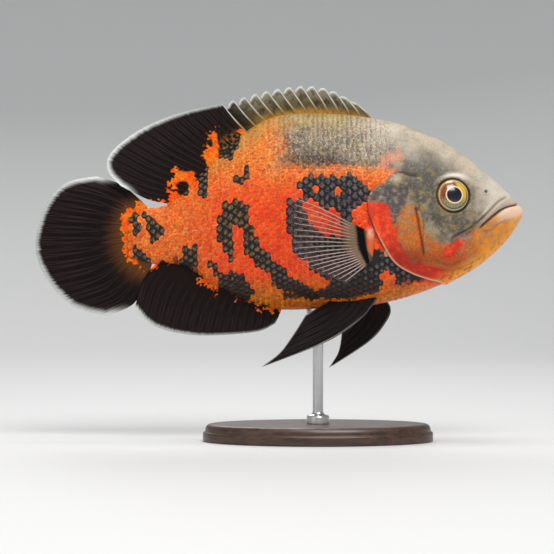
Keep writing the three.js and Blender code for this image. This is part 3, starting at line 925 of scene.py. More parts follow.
    def blotched(self, x: Array, z: Array, wobble: Array, blur: float) -> tuple[Array, Array]:
        """Lays the black blotches and the embers.

        Args:
            x: The points' x.
            z: The points' z.
            wobble: The noise that frays the outlines, in millimetres.
            blur: How soft the blotches' edges are.

        Returns:
            The shares of black and of ember.
        """
        dark, ember = np.zeros(x.shape), np.zeros(x.shape)
        for name, outline in self.blotches.items():
            soft = blur + (self.belly_blur if name == "belly" else 0.0)
            dark = np.maximum(dark, smoothstep(self.depth_in(x, z, outline) + wobble, -soft, soft))
        for outline in self.embers.values():
            ember = np.maximum(ember, smoothstep(self.depth_in(x, z, outline) + 1.4 * wobble, -3.0, 3.0))
        return dark * (1 - smoothstep(ember, 0.2, 0.7)), ember

    def zones(self, x: Array, y: Array, z: Array, blur: float = 0.5) -> dict[str, Array]:
        """Gives each colour zone's share at points of the fish, with the painted highlights and the painted
        shade among them.

        Args:
            x: The points' x.
            y: The points' y.
            z: The points' z.
            blur: How soft the blotches' edges are.

        Returns:
            A share from 0 to 1 for each named zone.
        """
        form = self.form
        aside = x + np.where(y > 0, self.far_side_shift, 0.0)
        wobble = lattice_noise(aside, z, 4.1, 3) + 0.7 * lattice_noise(aside, z, 1.9, 4)
        fleck = wobble + 1.3 * lattice_noise(aside, z, 1.05, 6)
        soft = lattice_noise(aside, z, 7, 5)
        dark, ember = self.blotched(x, z, wobble, blur)
        deep = {name: self.depth_in(x, z, outline) for name, outline in self.patches.items()}
        reach = self.depth_in(x, z, (*self.body_block[1:], *self.fin_reach, self.body_block[0]), 160)
        ahead, place, _ = form.behind_gills(x, z)
        high = z >= form.cover_top
        head = smoothstep(ahead, -0.2, 0.2) * ~high + high * smoothstep(x, 40, 46)
        trunk = 1 - head
        nape = smoothstep(x + 5 * soft, -34, -10) * smoothstep(z + 1.5 * soft, 152.5, 159)
        rim_depth = 10.5 - 4.0 * smoothstep(place, 0.40, 0.62) + 1.8 * lattice_noise(aside, z, 5.2, 21)
        rim_red = smoothstep(rim_depth - ahead + 1.2 * wobble, -3.4, 2.6)
        rim_red = head * rim_red * smoothstep(137.5 - z + wobble, -1, 4)
        dusk = np.maximum(deep["dusk_cheek"] - 0.8, deep["dusk_ear"])
        inner_x = np.minimum(x, form.nose)
        below = form.back(inner_x) - z
        above = z - form.belly(inner_x)
        top = 1 - smoothstep(below + 3 * lattice_noise(x, z, 9, 8), 3, 24)
        snout = smoothstep(x, 82, 104) * smoothstep(z, 127, 134)
        upper = np.abs(distance_to_line(x, z, form.upper_lip)[0])
        lower = np.abs(distance_to_line(x, z, form.lower_lip)[0])
        side_line = bell(distance_to_line(x, z, smooth_line(self.side_line, 60))[0], 0, 1.0) * (x < 36)
        stem_line = bell(distance_to_line(x, z, smooth_line(self.stem_line, 30))[0], 0, 1.0)
        # A painted highlight on the skin just above the eye, where the orbital rim catches the light.
        brow = bell(x, 78, 7.0) * bell(z + 0.03 * (x - 77) ** 2, 152.0, 1.3)
        nape_low = smoothstep(x, -22, -14) * (1 - smoothstep(x + 3 * soft, 4, 26))
        crest = (1 - smoothstep(below + wobble, 2.5, 16)) * smoothstep(x, -66, -50)
        seat = form.fin_seat(x, z)
        return {
            "dark": np.clip(dark, 0, 1) * trunk * (1 - seat),
            "fin_black": 1 - smoothstep(reach + 2.0 * fleck, -1.6, 1.6),
            "olive": np.clip(head + nape * trunk, 0, 1),
            "gold": trunk * np.maximum(
                smoothstep(z + 4 * soft, 134, 162), 0.6 * smoothstep(-x + 5 * soft, 48, 80)),
            "ember_band": np.clip(np.maximum(rim_red, head * ember), 0, 1),
            "amber": smoothstep(deep["amber"] + 1.5 * wobble, -3.5, 3.5) * head,
            "dusk": smoothstep(dusk + 2 * wobble, -3.5, 3.5) * head,
            # Painted highlight: silver painted along the top of the head and nape and on the snout, standing
            # in for light from above.
            "sheen": np.clip(np.maximum(top * smoothstep(x, -12, 45) * 0.9, snout * 0.8), 0, 1),
            "slate": smoothstep(deep["slate"] + wobble, -1.2, 1.2) * head,
            "pale": smoothstep(deep["pale"] + 0.6 * soft, -3.0, 2.5) * head,
            "blush": smoothstep(deep["blush"] + 1.5 * wobble, -3, 3),
            "upper_lip": (1 - smoothstep(upper, 1.8, 3.0)) * head * smoothstep(x, 88, 96),
            "lower_lip": (1 - smoothstep(lower, 2.4, 3.8)) * head * smoothstep(x, 98, 108),
            "pale_edge": head * smoothstep(place, 0.3, 0.5) * bell(ahead, 0.3, 0.55),
            "side_line": np.maximum(side_line, stem_line),
            "low": smoothstep(94 - z + wobble, -4, 10) * trunk,
            # The jaw's lower edge: its own amber, painted brighter as light thrown up from below.
            "chin": head * (1 - smoothstep(above + soft, 2, 11)) * smoothstep(x, 58, 78),
            # Painted highlight above the eye, with a weaker one brightening the dimly lit snout.
            "brow": np.maximum(brow, 0.45 * snout),
            # Painted shade: the lower head darker towards the bottom, most on the lower cheek near the gill
            # edge.
            "shadow": head * smoothstep(116 - z + 2 * soft, 0, 9) * (1 - smoothstep(x, 52, 66)),
            "under": head * smoothstep(115 - z + 2 * soft, 0, 12) * (1 - smoothstep(x, 74, 92)),
            "fin_seat": seat * trunk,
            "nape_low": nape_low * smoothstep(164 - z, -3, 3) * smoothstep(z, 152, 156),
            "crest_gold": crest * (1 - smoothstep(x, 8, 36)),
        }


# Finishes


@dataclass(frozen=True)
class BodyFinish:
    """The moist skin, with the colour zones mixed over it."""

    orange: Colour = (0.98, 0.078, 0.003)
    deep_orange: Colour = (0.92, 0.032, 0.002)
    golden: Colour = (0.84, 0.21, 0.012)
    straw: Colour = (0.84, 0.40, 0.075)
    olive: Colour = (0.30, 0.24, 0.165)
    olive_dark: Colour = (0.105, 0.09, 0.06)
    dusk: Colour = (0.070, 0.066, 0.055)
    # Silver of the painted highlight on the head top and snout, also used for the top of the breast fin's
    # seat.
    silver: Colour = (0.53, 0.45, 0.345)
    black: Colour = (0.0085, 0.006, 0.006)
    slate: Colour = (0.065, 0.058, 0.070)
    flame: Colour = (0.64, 0.018, 0.003)
    amber: Colour = (0.48, 0.11, 0.004)
    pale: Colour = (0.52, 0.21, 0.055)
    bright_amber: Colour = (0.78, 0.27, 0.008)
    crest: Colour = (0.36, 0.25, 0.055)
    brown: Colour = (0.055, 0.016, 0.005)
    lip: Colour = (0.66, 0.50, 0.38)
    upper_lip: Colour = (0.47, 0.38, 0.30)
    lower_lip: Colour = (0.80, 0.55, 0.40)
    blush: Colour = (0.74, 0.22, 0.11)
    cream: Colour = (0.84, 0.50, 0.30)
    flesh: Colour = (0.36, 0.18, 0.05)
    # Colour of the painted highlight above the eye and on the snout.
    shine: Colour = (0.80, 0.76, 0.68)
    # Amber of the jaw's lower edge, painted brighter for light from below.
    chin: Colour = (0.98, 0.37, 0.010)

    def warm_ground(self, s: Shader, fine: Signal, coarse: Signal) -> Signal:
        """Mixes the trunk's orange and gold.

        Args:
            s: The material's shader.
            fine: The finer grain.
            coarse: The coarser grain.

        Returns:
            The colour.
        """
        gold, low = s.attribute("gold"), s.attribute("low")
        colour = s.mix(s.noise(150, 3).ramp(0.35, 0.7), self.orange, self.deep_orange)
        colour = s.mix((gold * (0.1 + fine * 1.5)).at_most(1), colour, self.golden)
        colour = s.mix(coarse.ramp(0.49, 0.60) * (0.20 + gold * 0.66), colour, self.straw)
        dots = s.noise(820, 2, s.moved(0.3)).ramp(0.52, 0.62) * (0.46 + gold * 0.44)
        colour = s.shade(dots, colour, (0.62, 0.27, 0.16))
        gilt = s.mix(s.noise(520, 3, s.moved(0.4)).ramp(0.4, 0.6), self.amber, self.bright_amber)
        return s.mix(low * s.noise(260, 4).ramp(0.30, 0.52), colour, gilt)

    def grey_ground(self, s: Shader, fine: Signal, coarse: Signal) -> Signal:
        """Mixes the olive greys of the head and the nape, with a painted silver highlight along the top of
        the head and on the snout.

        Args:
            s: The material's shader.
            fine: The finer grain.
            coarse: The coarser grain.

        Returns:
            The colour.
        """
        sheen = s.attribute("sheen")
        trunk = 1 - s.axis("X").ramp(0.028, 0.052)
        grey = s.mix(s.noise(170, 4).ramp(0.36, 0.66), self.olive, self.olive_dark)
        dusk = s.broken(s.attribute("dusk"), s.noise(330, 4), 1.2, 0.42)
        grey = s.mix(dusk * 0.85, grey, self.dusk)
        # Painted highlight: silver mixed in along the top of the head and nape and on the snout.
        grey = s.mix(sheen * (0.75 + fine * 0.4).at_most(1), grey, self.silver)
        grains = s.noise(1050, 3, s.moved(0.5))
        grey = s.shade(grains.ramp(0.46, 0.64) * (0.30 + trunk * 0.45), grey, (0.42, 0.37, 0.34))
        grey = s.mix(coarse.ramp(0.52, 0.64) * (0.14 + trunk * 0.30), grey, (0.66, 0.58, 0.44))
        clouds = s.noise(75, 2, s.moved(0.9)).ramp(0.45, 0.68)
        grey = s.mix(clouds * (1 - trunk) * 0.35, grey, self.dusk)
        grey = s.shade(s.attribute("nape_low") * fine.ramp(0.34, 0.48), grey, (0.22, 0.17, 0.18))
        yellow = s.noise(210, 3).ramp(0.5, 0.68) * (1 - sheen)
        return s.mix(yellow * 0.38, grey, (0.40, 0.27, 0.05))

    def head_zones(self, s: Shader, colour: Signal, grey: Signal, fine: Signal) -> Signal:
        """Lays the cheek's amber, slate and red over a colour.

        Args:
            s: The material's shader.
            colour: The colour under them.
            grey: The head's grey.
            fine: The finer grain.

        Returns:
            The colour.
        """
        medium = s.noise(420, 4)
        warm = s.mix(s.noise(190, 4).ramp(0.42, 0.60), self.amber, grey)
        warm = s.mix(s.noise(260, 4).ramp(0.52, 0.66) * 0.8, warm, self.flame)
        gilt = s.mix(fine.ramp(0.4, 0.7), self.amber, self.bright_amber)
        amber = s.broken(s.attribute("amber"), medium * 0.5 + s.noise(1100, 3) * 0.5, 1.3, 0.36)
        colour = s.mix(amber * 0.95, colour, s.mix(0.5, warm, gilt))
        colour = s.mix(s.attribute("slate") * s.noise(330, 3).ramp(0.34, 0.58) * 0.9, colour, self.slate)
        hot = s.mix(s.noise(300, 3).ramp(0.45, 0.72), self.flame, self.orange)
        hot = s.shade(medium.ramp(0.5, 0.72) * 0.55, hot, (0.60, 0.42, 0.4))
        hot = s.mix(s.noise(1700, 2).ramp(0.55, 0.7) * 0.3, hot, self.golden)
        band = s.broken(s.attribute("ember_band"), medium * 0.6 + s.noise(1200, 3) * 0.4, 1.7, 0.30)
        colour = s.mix(band * 0.96, colour, hot)
        blush = s.broken(s.attribute("blush"), s.noise(800, 3), 1.3, 0.45)
        return s.mix(blush * 0.55, colour, self.blush)

    def details(self, s: Shader, colour: Signal) -> Signal:
        """Lays the lips, the jaw's lower edge painted brighter for light from below, the painted shade under
        the head, the painted highlight above the eye and on the snout, the fin's seat and the gill cover's
        pale edge over a colour.

        Args:
            s: The material's shader.
            colour: The colour under them.

        Returns:
            The colour.
        """
        lip = s.mix(s.noise(150, 4).ramp(0.38, 0.62), self.pale, self.bright_amber)
        lip = s.shade(s.noise(420, 4).ramp(0.46, 0.66) * 0.5, lip, (0.62, 0.46, 0.34))
        # The lips also take the painted silver highlight of the head top and snout.
        lip = s.mix(s.attribute("sheen") * 0.6, lip, self.lip)
        colour = s.mix(s.attribute("pale") * 0.92, colour, lip)
        # Painted shade on the underside of the head, deeper on the lower cheek near the gill edge.
        colour = s.shade(s.attribute("under"), colour, (0.86, 0.50, 0.20))
        colour = s.shade(s.attribute("shadow"), colour, (0.66, 0.56, 0.5))
        # The jaw's lower edge: own amber, painted brighter as light from below.
        colour = s.mix(s.attribute("chin") * s.noise(330, 4).ramp(0.30, 0.54) * 0.9, colour, self.chin)
        # Painted highlight above the eye and on the snout.
        colour = s.mix(s.attribute("brow") * 0.8, colour, self.shine)
        colour = s.mix(s.attribute("upper_lip") * 0.75, colour, self.upper_lip)
        colour = s.mix(s.attribute("lower_lip") * 0.8, colour, self.lower_lip)
        seat = s.mix(s.noise(420, 3).ramp(0.40, 0.60) * 0.6, self.flesh, self.orange)
        seat_top = s.mix(s.noise(900, 3).ramp(0.4, 0.6), self.cream, self.silver)
        seat = s.mix(s.axis("Z").ramp(0.1135, 0.1200), seat, seat_top)
        colour = s.mix(s.broken(s.attribute("fin_seat"), s.noise(420, 4), 1.3, 0.42) * 0.8, colour, seat)
        return s.mix(s.attribute("pale_edge") * 0.85, colour, self.cream)

    def ground(self, s: Shader) -> Signal:
        """Mixes the colour that skin and scales share, from the zones' attributes.

        Args:
            s: The material's shader.

        Returns:
            The colour.
        """
        fine, coarse = s.noise(900, 3), s.noise(760, 3, s.moved(0.7))
        grey = self.grey_ground(s, fine, coarse)
        colour = s.mix(s.attribute("olive"), self.warm_ground(s, fine, coarse), grey)
        crest = s.attribute("crest_gold") * s.noise(620, 3).ramp(0.28, 0.58)
        colour = s.mix(crest * 0.85, colour, self.crest)
        return self.details(s, self.head_zones(s, colour, grey, fine))

    def skin(self) -> bpy.types.Material:
        """Makes the skin's material."""
        s = Shader("oscar_skin")
        mottle = s.noise(520, 4)
        ink = s.mix(s.attribute("low") * mottle.ramp(0.42, 0.6), self.black, self.brown)
        colour = s.mix(s.broken(s.attribute("dark"), mottle, 1.1, 0.2), self.ground(s), ink)
        colour = s.mix(s.broken(s.attribute("fin_black"), mottle, 0.8), colour, self.black)
        # Painted shade darkens the skin in its folds and grooves.
        colour = s.shade(s.attribute("crease") * 0.85, colour, (0.20, 0.13, 0.09))
        pits = s.node("ShaderNodeTexVoronoi", None, {"Vector": s.place(), "Scale": 1500.0}, "Distance")
        grain = s.noise(2600, 2)
        return s.finish(
            base_color=colour, roughness=0.36 + grain * 0.18,
            normal=s.bump(pits * 0.5 + grain * 0.4 + s.noise(420, 3) * 0.8, 0.00020, 0.7),
            coat_weight=0.12, coat_roughness=0.16, specular_ior_level=0.26,
            subsurface_weight=0.05, subsurface_scale=0.002,
        )

    def scales(self) -> bpy.types.Material:
        """Makes the scales' material, with each scale's own tone, margin and growth rings."""
        s = Shader("oscar_scales")
        tone, gold = s.attribute("tone"), s.attribute("gold")
        olive, low = s.attribute("olive"), s.attribute("low")
        spread = s.node("ShaderNodeUVMap", {"uv_map": "scale"})
        across = (s.axis("Y", spread) - 0.5) * SCALE_MAP[1]
        along = (s.axis("X", spread) - 0.5) * SCALE_MAP[0]
        wide, long = across / 3.05, (along - 1.5) / 2.45
        grit = s.noise(1300, 2) - 0.5
        rim = (wide * wide + long * long) ** 0.5 + grit * 0.35
        facet = wide.size() + long.size() * 0.7 + grit * 0.7
        colour = s.shade(tone * 0.62, self.ground(s), (0.66, 0.42, 0.30))
        colour = s.mix(rim.ramp(0.72, 1.05) * (0.10 + gold * 0.24) * (1 - olive), colour, self.straw)
        colour = s.shade((1 - rim.ramp(0.1, 0.85)) * 0.25 * (1 - olive), colour, (0.75, 0.42, 0.36))
        colour = s.shade(olive * rim.ramp(0.55, 1.0) * 0.28, colour, (0.40, 0.36, 0.31))
        pore = (1 - across.size().ramp(0.25, 0.8)) * s.attribute("side_line")
        colour = s.mix(pore * 0.3, colour, self.cream)
        ahead = s.axis("X").ramp(-0.034, -0.006)
        heart = s.mix((tone * 0.6 + ahead * 0.7).ramp(0.2, 0.9), (0.22, 0.125, 0.04), (0.135, 0.108, 0.120))
        heart = s.mix(s.noise(620, 3).ramp(0.4, 0.65), heart, self.black)
        share = (1 - facet.ramp(0.35, 1.0)) * (0.4 + s.noise(900, 2)).at_most(1)
        inky = s.mix(share * (1 - low * 0.75), self.black, heart)
        inky = s.mix(low * s.noise(480, 4).ramp(0.46, 0.62) * 0.9, inky, self.brown)
        colour = s.mix(s.broken(s.attribute("dark"), s.noise(520, 4), 0.6, 0.2), colour, inky)
        colour = s.mix(s.attribute("fin_black"), colour, self.black)
        rays = s.noise(3000, 2)
        return s.finish(
            base_color=colour, roughness=0.34 + rays * 0.16,
            normal=s.bump((rim * 46.0).sine() * 0.35 + rays * 0.5, 0.00008, 0.5),
            coat_weight=0.09, coat_roughness=0.14, specular_ior_level=0.24,
            subsurface_weight=0.04, subsurface_scale=0.0015,
        )


@dataclass(frozen=True)
class FinFinish:
    """The membrane and rays of one kind of fin."""

    name: str
    web: Colour = (0.0075, 0.004, 0.0038)
    ray: Colour = (0.023, 0.015, 0.014)
    base: Colour = (0.010, 0.005, 0.004)
    dark: Colour = (0.010, 0.007, 0.006)
    rim: Colour = (0.74, 0.76, 0.72)
    rim_width: float = 1.6
    web_alpha: float = 1.0
    base_reach: float = 0.45
    glow: Colour = (0.27, 0.18, 0.11)
    flesh: Colour | None = None
    tip: Colour | None = None

    def material(self) -> bpy.types.Material:
        """Makes the fin's material."""
        s = Shader(self.name)
        body = BodyFinish()
        ray, reach = s.attribute("ray"), s.attribute("reach")
        spread = s.node("ShaderNodeUVMap", {"uv_map": "fin"})
        streak = s.noise(1.0, 3, s.stretched((150.0, 3.5, 1.0), spread))
        frill = (streak - 0.5) * 0.9 * self.base_reach
        if self.flesh:
            web = s.mix(1 - (reach + frill * 0.5).ramp(0.28, 0.42), self.web, self.glow)
            web = s.mix(1 - (reach + frill * 0.25).ramp(0.16, 0.21), web, self.base)
        else:
            web = s.mix(1 - (reach + frill).ramp(0.4 * self.base_reach, self.base_reach), self.web, self.base)
        if self.tip:
            web = s.mix(reach.ramp(0.45, 0.95) * (0.4 + streak * 0.8).at_most(1), web, self.tip)
            smudge = s.noise(260, 3).ramp(0.45, 0.62) * reach.ramp(0.1, 0.35)
            web = s.shade(smudge * 0.8, web, (0.30, 0.28, 0.30))
        lines = ray * (0.1 + streak * 0.9) + streak.ramp(0.50, 0.72) * 0.6
        lines = (lines * (0.3 + reach.ramp(0.1, 0.75))).at_most(1)
        colour = s.mix(ray * reach.ramp(0.2, 0.3) if self.flesh else lines, web, self.ray)
        colour = s.mix(s.attribute("joins") * (0.5 + s.noise(420, 3)).at_most(1), colour, self.dark)
        gilt = s.attribute("gild") * (1 - reach.ramp(0.06, 0.44))
        gilt = gilt * (s.noise(560, 3) * 0.6 + streak * 0.4).ramp(0.46, 0.60)
        colour = s.mix(gilt * 0.85, colour, s.mix(s.noise(300, 2), body.crest, body.amber))
        zone = (1 - s.attribute("fin_black")) * (1 - s.attribute("dark"))
        ember = s.broken(zone, s.noise(520, 3) * 0.6 + streak * 0.4, 1.2, 0.26)
        warm = s.mix(s.noise(420, 3).ramp(0.38, 0.6), body.orange, body.golden)
        warm = s.shade(s.noise(900, 3).ramp(0.5, 0.68) * 0.6, warm, (0.45, 0.25, 0.2))
        colour = s.mix(ember * 0.96, colour, warm)
        if self.flesh:
            colour = s.mix(1 - reach.ramp(0.068, 0.09), colour, self.flesh)
        frayed = s.attribute("edge_mm") + (streak - 0.5) * self.rim_width * 2.2
        band = (1 - frayed.ramp(self.rim_width * 0.1, self.rim_width * 2.0)) * s.attribute("rim_share")
        sockets: dict[str, Any] = {
            "base_color": s.mix(band * 0.85, colour, self.rim),
            "roughness": 0.40 + streak * 0.25,
            "normal": s.bump(streak * 0.6 + ray * 0.5 + s.noise(1800, 2) * 0.3, 0.00015, 0.6),
            "specular_ior_level": 0.08,
        }
        if self.web_alpha < 1:
            root = 1 - (reach + (streak - 0.5) * 0.10).ramp(0.17, 0.24)
            root = root.at_least((1 - reach.ramp(0.18, 0.44)) * (0.25 + streak))
            sockets["alpha"] = (self.web_alpha + ray * 0.11 + root * 0.9).at_most(1)
        return s.finish(**sockets)


@dataclass(frozen=True)
class RayFinish:
    """The hard spines and fine rays, paler towards the tip."""

    name: str
    root: Colour
    tip: Colour
    turn_low: float = 0.3
    turn_high: float = 0.9

    def material(self) -> bpy.types.Material:
        """Makes the rays' material."""
        s = Shader(self.name)
        share = s.attribute("share")
        colour = s.mix(share.ramp(self.turn_low, self.turn_high), self.root, self.tip)
        colour = s.shade(s.noise(1200, 2).ramp(0.4, 0.7) * 0.35, colour, (0.5, 0.42, 0.35))
        rough = 0.36 + s.noise(2000, 2) * 0.15
        return s.finish(base_color=colour, roughness=rough, coat_weight=0.3, coat_roughness=0.2)


@dataclass(frozen=True)
class EyeFinish:
    """The iris, its pale ring and the pupil under a clear gloss."""

    pupil: float = 3.9
    ring: float = 4.6
    iris: float = 8.45

    def material(self) -> bpy.types.Material:
        """Makes the eye's material."""
        s = Shader("oscar_eye")
        across, up = s.attribute("eye_across"), s.attribute("eye_up")
        wave = s.noise(900, 3)
        r = (across * across + up * up) ** 0.5 * 0.92 + (wave - 0.5) * 0.35
        brown = s.mix(s.noise(1400, 3).ramp(0.4, 0.65), (0.30, 0.065, 0.009), (0.10, 0.018, 0.005))
        bright = ((across * 0.95 + up * 0.3) / 6.0).ramp(0.3, 0.75)
        iris = s.mix(bright, brown, (0.66, 0.38, 0.025))
        green = s.mix(s.noise(1100, 3).ramp(0.35, 0.65), (0.15, 0.14, 0.04), (0.33, 0.28, 0.12))
        iris = s.mix((up / -6.0).ramp(0.1, 0.75), iris, green)
        outer = s.mix((up / 8.0).ramp(-0.1, 0.6), (0.07, 0.075, 0.04), (0.33, 0.27, 0.08))
        outer = s.mix((across / -8.0).ramp(0.1, 0.7), outer, (0.24, 0.11, 0.02))
        colour = s.mix(r.ramp(6.4, 7.1), iris, outer)
        colour = s.mix(r.ramp(7.3, 7.6) * (1 - r.ramp(7.8, 8.1)) * 0.8, colour, (0.62, 0.48, 0.26))
        colour = s.mix(r.ramp(self.iris - 0.1, self.iris + 0.4), colour, (0.03, 0.03, 0.022))
        ring = r.ramp(self.pupil, self.pupil + 0.22) * (1 - r.ramp(self.ring - 0.1, self.ring + 0.2))
        colour = s.mix(ring, colour, (0.86, 0.62, 0.42))
        colour = s.mix(1 - r.ramp(self.pupil - 0.12, self.pupil + 0.12), colour, (0.002, 0.004, 0.010))
        return s.finish(base_color=colour, roughness=0.16 + wave * 0.08, coat_weight=0.5, coat_roughness=0.03)


@dataclass(frozen=True)
class StandFinish:
    """The stained wood of the base and the brushed steel of the rod."""

    light: Colour = (0.075, 0.032, 0.015)
    dark: Colour = (0.020, 0.008, 0.004)

    def wood(self) -> bpy.types.Material:
        """Makes the base's stained, satin-varnished wood."""
        s = Shader("stained_wood")
        grain = s.noise(4.0, 6, s.stretched((6.0, 60.0, 60.0)), 0.62)
        pore = s.noise(1.0, 3, s.stretched((40.0, 900.0, 900.0))).ramp(0.58, 0.72)
        rings = (grain * 26.0).sine() * 0.5 + 0.5
        colour = s.mix((rings * 0.55 + grain * 0.5).at_most(1), self.dark, self.light)
        colour = s.shade(pore * 0.6, colour, (0.35, 0.3, 0.28))
        normal = s.bump(rings * 0.3 - pore * 0.5, 0.00008, 0.6)
        return s.finish(
            base_color=colour, roughness=0.34 + rings * 0.08 + pore * 0.15, normal=normal,
            coat_weight=0.25, coat_roughness=0.25,
        )

    def steel(self) -> bpy.types.Material:
        """Makes the rod's brushed steel, with fine marks round the turned faces."""
        s = Shader("brushed_steel")
        marks = s.noise(1.0, 4, s.stretched((120.0, 120.0, 5200.0)))
        colour = s.mix(marks, (0.50, 0.50, 0.51), (0.66, 0.66, 0.67))
        normal = s.bump(marks, 0.00003, 0.6)
        return s.finish(base_color=colour, metallic=1.0, roughness=0.24 + marks * 0.16, normal=normal)


def floor_material() -> bpy.types.Material:
    """Makes the plain pale studio surface."""
    s = Shader("studio_pale")
    return s.finish(base_color=(0.66, 0.66, 0.655), roughness=0.6 + s.noise(3, 2) * 0.05)


# Skin and coat


@dataclass
class Skin:
    """One skin over head, jaw, gill covers, trunk and tail stem."""

    form: BodyForm
    marks: Markings
    finish: BodyFinish
    half_ring: int = 145
    body_step: float = 1.5
    head_step: float = 0.42

    def stations(self) -> Array:
        """Spaces the sections, closest at the blunt nose and over the head.

        Returns:
            The x of each section, from nose to tail.
        """
        blunt = self.form.nose - np.linspace(0.12, math.sqrt(8), 34) ** 2
        head = np.arange(blunt[-1] - self.head_step, 25, -self.head_step)
        body = np.arange(head[-1] - self.body_step, self.form.stem_end + 0.8, -self.body_step)
        end = self.form.stem_end + np.array([0.4, 0.0])
        return np.concatenate([blunt, head, body, end])

    def turns(self, x: Array) -> Array:
        """Spaces the points round each section, closer near the mouth, eye, nostril and gill edge.

        Args:
            x: The sections' x.

        Returns:
            Each section's angles over the left half, from top to bottom.
        """
        form = self.form
        turn = np.linspace(0, math.pi, 420)
        p = form.section(x[:, None], turn[None, :])
        px, pz = p[..., 0], p[..., 2]
        mouth = np.abs(distance_to_line(px, pz, form.mouth[::3])[0])
        gill = np.abs(distance_to_line(px, pz, form.gill[::4])[0])
        eye = np.hypot(px - form.eye[0], pz - form.eye[1])
        nostril = np.hypot(px - form.nostril[0], pz - form.nostril[1])
        weight = 1 + 3 * bell(mouth, 0, 2.6) + 1.2 * bell(gill, 0, 2.5)
        weight += 1.3 * bell(eye, 10.0, 2.2) + 1.5 * bell(nostril, 0, 2.5)
        step = np.linalg.norm(np.diff(p, axis=1), axis=2) * (weight[:, 1:] + weight[:, :-1]) / 2
        at = np.linspace(0, 1, self.half_ring + 1)
        return np.stack([np.interp(at * run[-1], run, turn) for run in running_length(step)])

    def make(self) -> bpy.types.Object:
        """Builds and dresses the skin.

        Returns:
            The skin's piece.
        """
        form = self.form
        x = self.stations()
        half = self.turns(x)
        turn = np.concatenate([half, -half[:, -2:0:-1]], axis=1)
        p = form.section(x[:, None], turn)
        along = np.gradient(p, axis=0)
        around = np.roll(p, -1, axis=1) - np.roll(p, 1, axis=1)
        normal = np.cross(around, along)
        normal /= np.linalg.norm(normal, axis=2, keepdims=True) + 1e-12
        outward = np.sign(np.median((normal * (p - p.mean(axis=1, keepdims=True))).sum(axis=2)))
        rise, crease = form.relief(p)
        moved = p + normal * outward * rise[..., None]
        tips = np.array([[form.nose + 0.02, 0, float(form.widest(form.nose))], moved[-1].mean(axis=0)])
        points = np.vstack([moved.reshape(-1, 3), tips])
        zones = self.marks.zones(points[:, 0], points[:, 1], points[:, 2], blur=1.6)
        # The painted shade of the folds goes with the skin's colour zones.
        zones["crease"] = np.append(crease.ravel(), [0, 0])
        piece = make_piece("skin", points, capped_faces(*turn.shape), zones)
        nodes = "head", "lower_jaw", "gill_cover_right", "gill_cover_left", "trunk", "tail_stem"
        return dress(piece, self.finish.skin(), "flank_skin", *nodes)


@dataclass
class Flank:
    """One flank as a table, so that scales bend with the body and pass under the gill cover."""

    form: BodyForm
    x_low: float = -109.0
    x_high: float = 64.0
    step: float = 0.8
    arc_step: float = 0.5
    arc_reach: float = 80.0

    def __post_init__(self) -> None:
        """Measures the sections and spaces their points evenly from the middle of the side."""
        self.xs = np.arange(self.x_low, self.x_high, self.step)
        xs = np.maximum(self.xs, self.form.stem_end)
        turn = np.linspace(0, math.pi, 500)
        p = self.form.section(xs[:, None], turn[None, :])
        sunk = self.form.trunk_relief(p[..., 0], p[..., 2])
        out = np.stack(np.broadcast_arrays(np.zeros(sunk.shape), np.sin(turn), 0.6 * np.cos(turn)), axis=-1)
        p = p + out / np.linalg.norm(out, axis=2, keepdims=True) * sunk[..., None]
        p[..., 1] = np.maximum(p[..., 1], 0)
        p[..., 0] += (self.xs - xs)[:, None]
        arcs = np.arange(-self.arc_reach, self.arc_reach + 1e-6, self.arc_step)
        self.top, self.bottom = np.zeros(len(xs)), np.zeros(len(xs))
        self.table = np.zeros((len(xs), len(arcs), 3))
        runs = running_length(np.linalg.norm(np.diff(p, axis=1), axis=2))
        for i, (run, middle) in enumerate(zip(runs, self.form.widest(xs))):
            height = np.interp(-middle, -p[i, :, 2], run) - run
            self.top[i], self.bottom[i] = height[0], height[-1]
            for k in range(3):
                self.table[i, :, k] = np.interp(arcs, height[::-1], p[i, ::-1, k])

    def at(self, x: Array, arc: Array) -> Array:
        """Gives points of the left flank.

        Args:
            x: Where along the body.
            arc: The height along the section, from the middle of the side.

        Returns:
            The points, with a last axis of 3.
        """
        u = np.clip((x - self.x_low) / self.step, 0, len(self.xs) - 1.001)
        v = np.clip((arc + self.arc_reach) / self.arc_step, 0, self.table.shape[1] - 1.001)
        i, j = u.astype(int), v.astype(int)
        a, b = (u - i)[..., None], (v - j)[..., None]
        low = self.table[i, j] * (1 - b) + self.table[i, j + 1] * b
        high = self.table[i + 1, j] * (1 - b) + self.table[i + 1, j + 1] * b
        return low * (1 - a) + high * a

    def normal_at(self, x: Array, arc: Array) -> Array:
        """Gives the outward direction of the left flank.

        Args:
            x: Where along the body.
            arc: The height along the section, from the middle of the side.

        Returns:
            The directions, with a last axis of 3.
        """
        near = 1.2
        along = self.at(x + near, arc) - self.at(x - near, arc)
        up = self.at(x, arc + near) - self.at(x, arc - near)
        normal = np.cross(up, along)
        normal /= np.linalg.norm(normal, axis=-1, keepdims=True) + 1e-9
        return normal * np.where(normal[..., 1:2] < 0, -1, 1)


@dataclass(frozen=True)
class ScaleField:
    """The pitch and size of the scales over one part of the flank."""

    nape: bool
    first: float
    pitch: float
    tail_pitch: float
    row: float
    shrink: float
    size: float
    lift: float


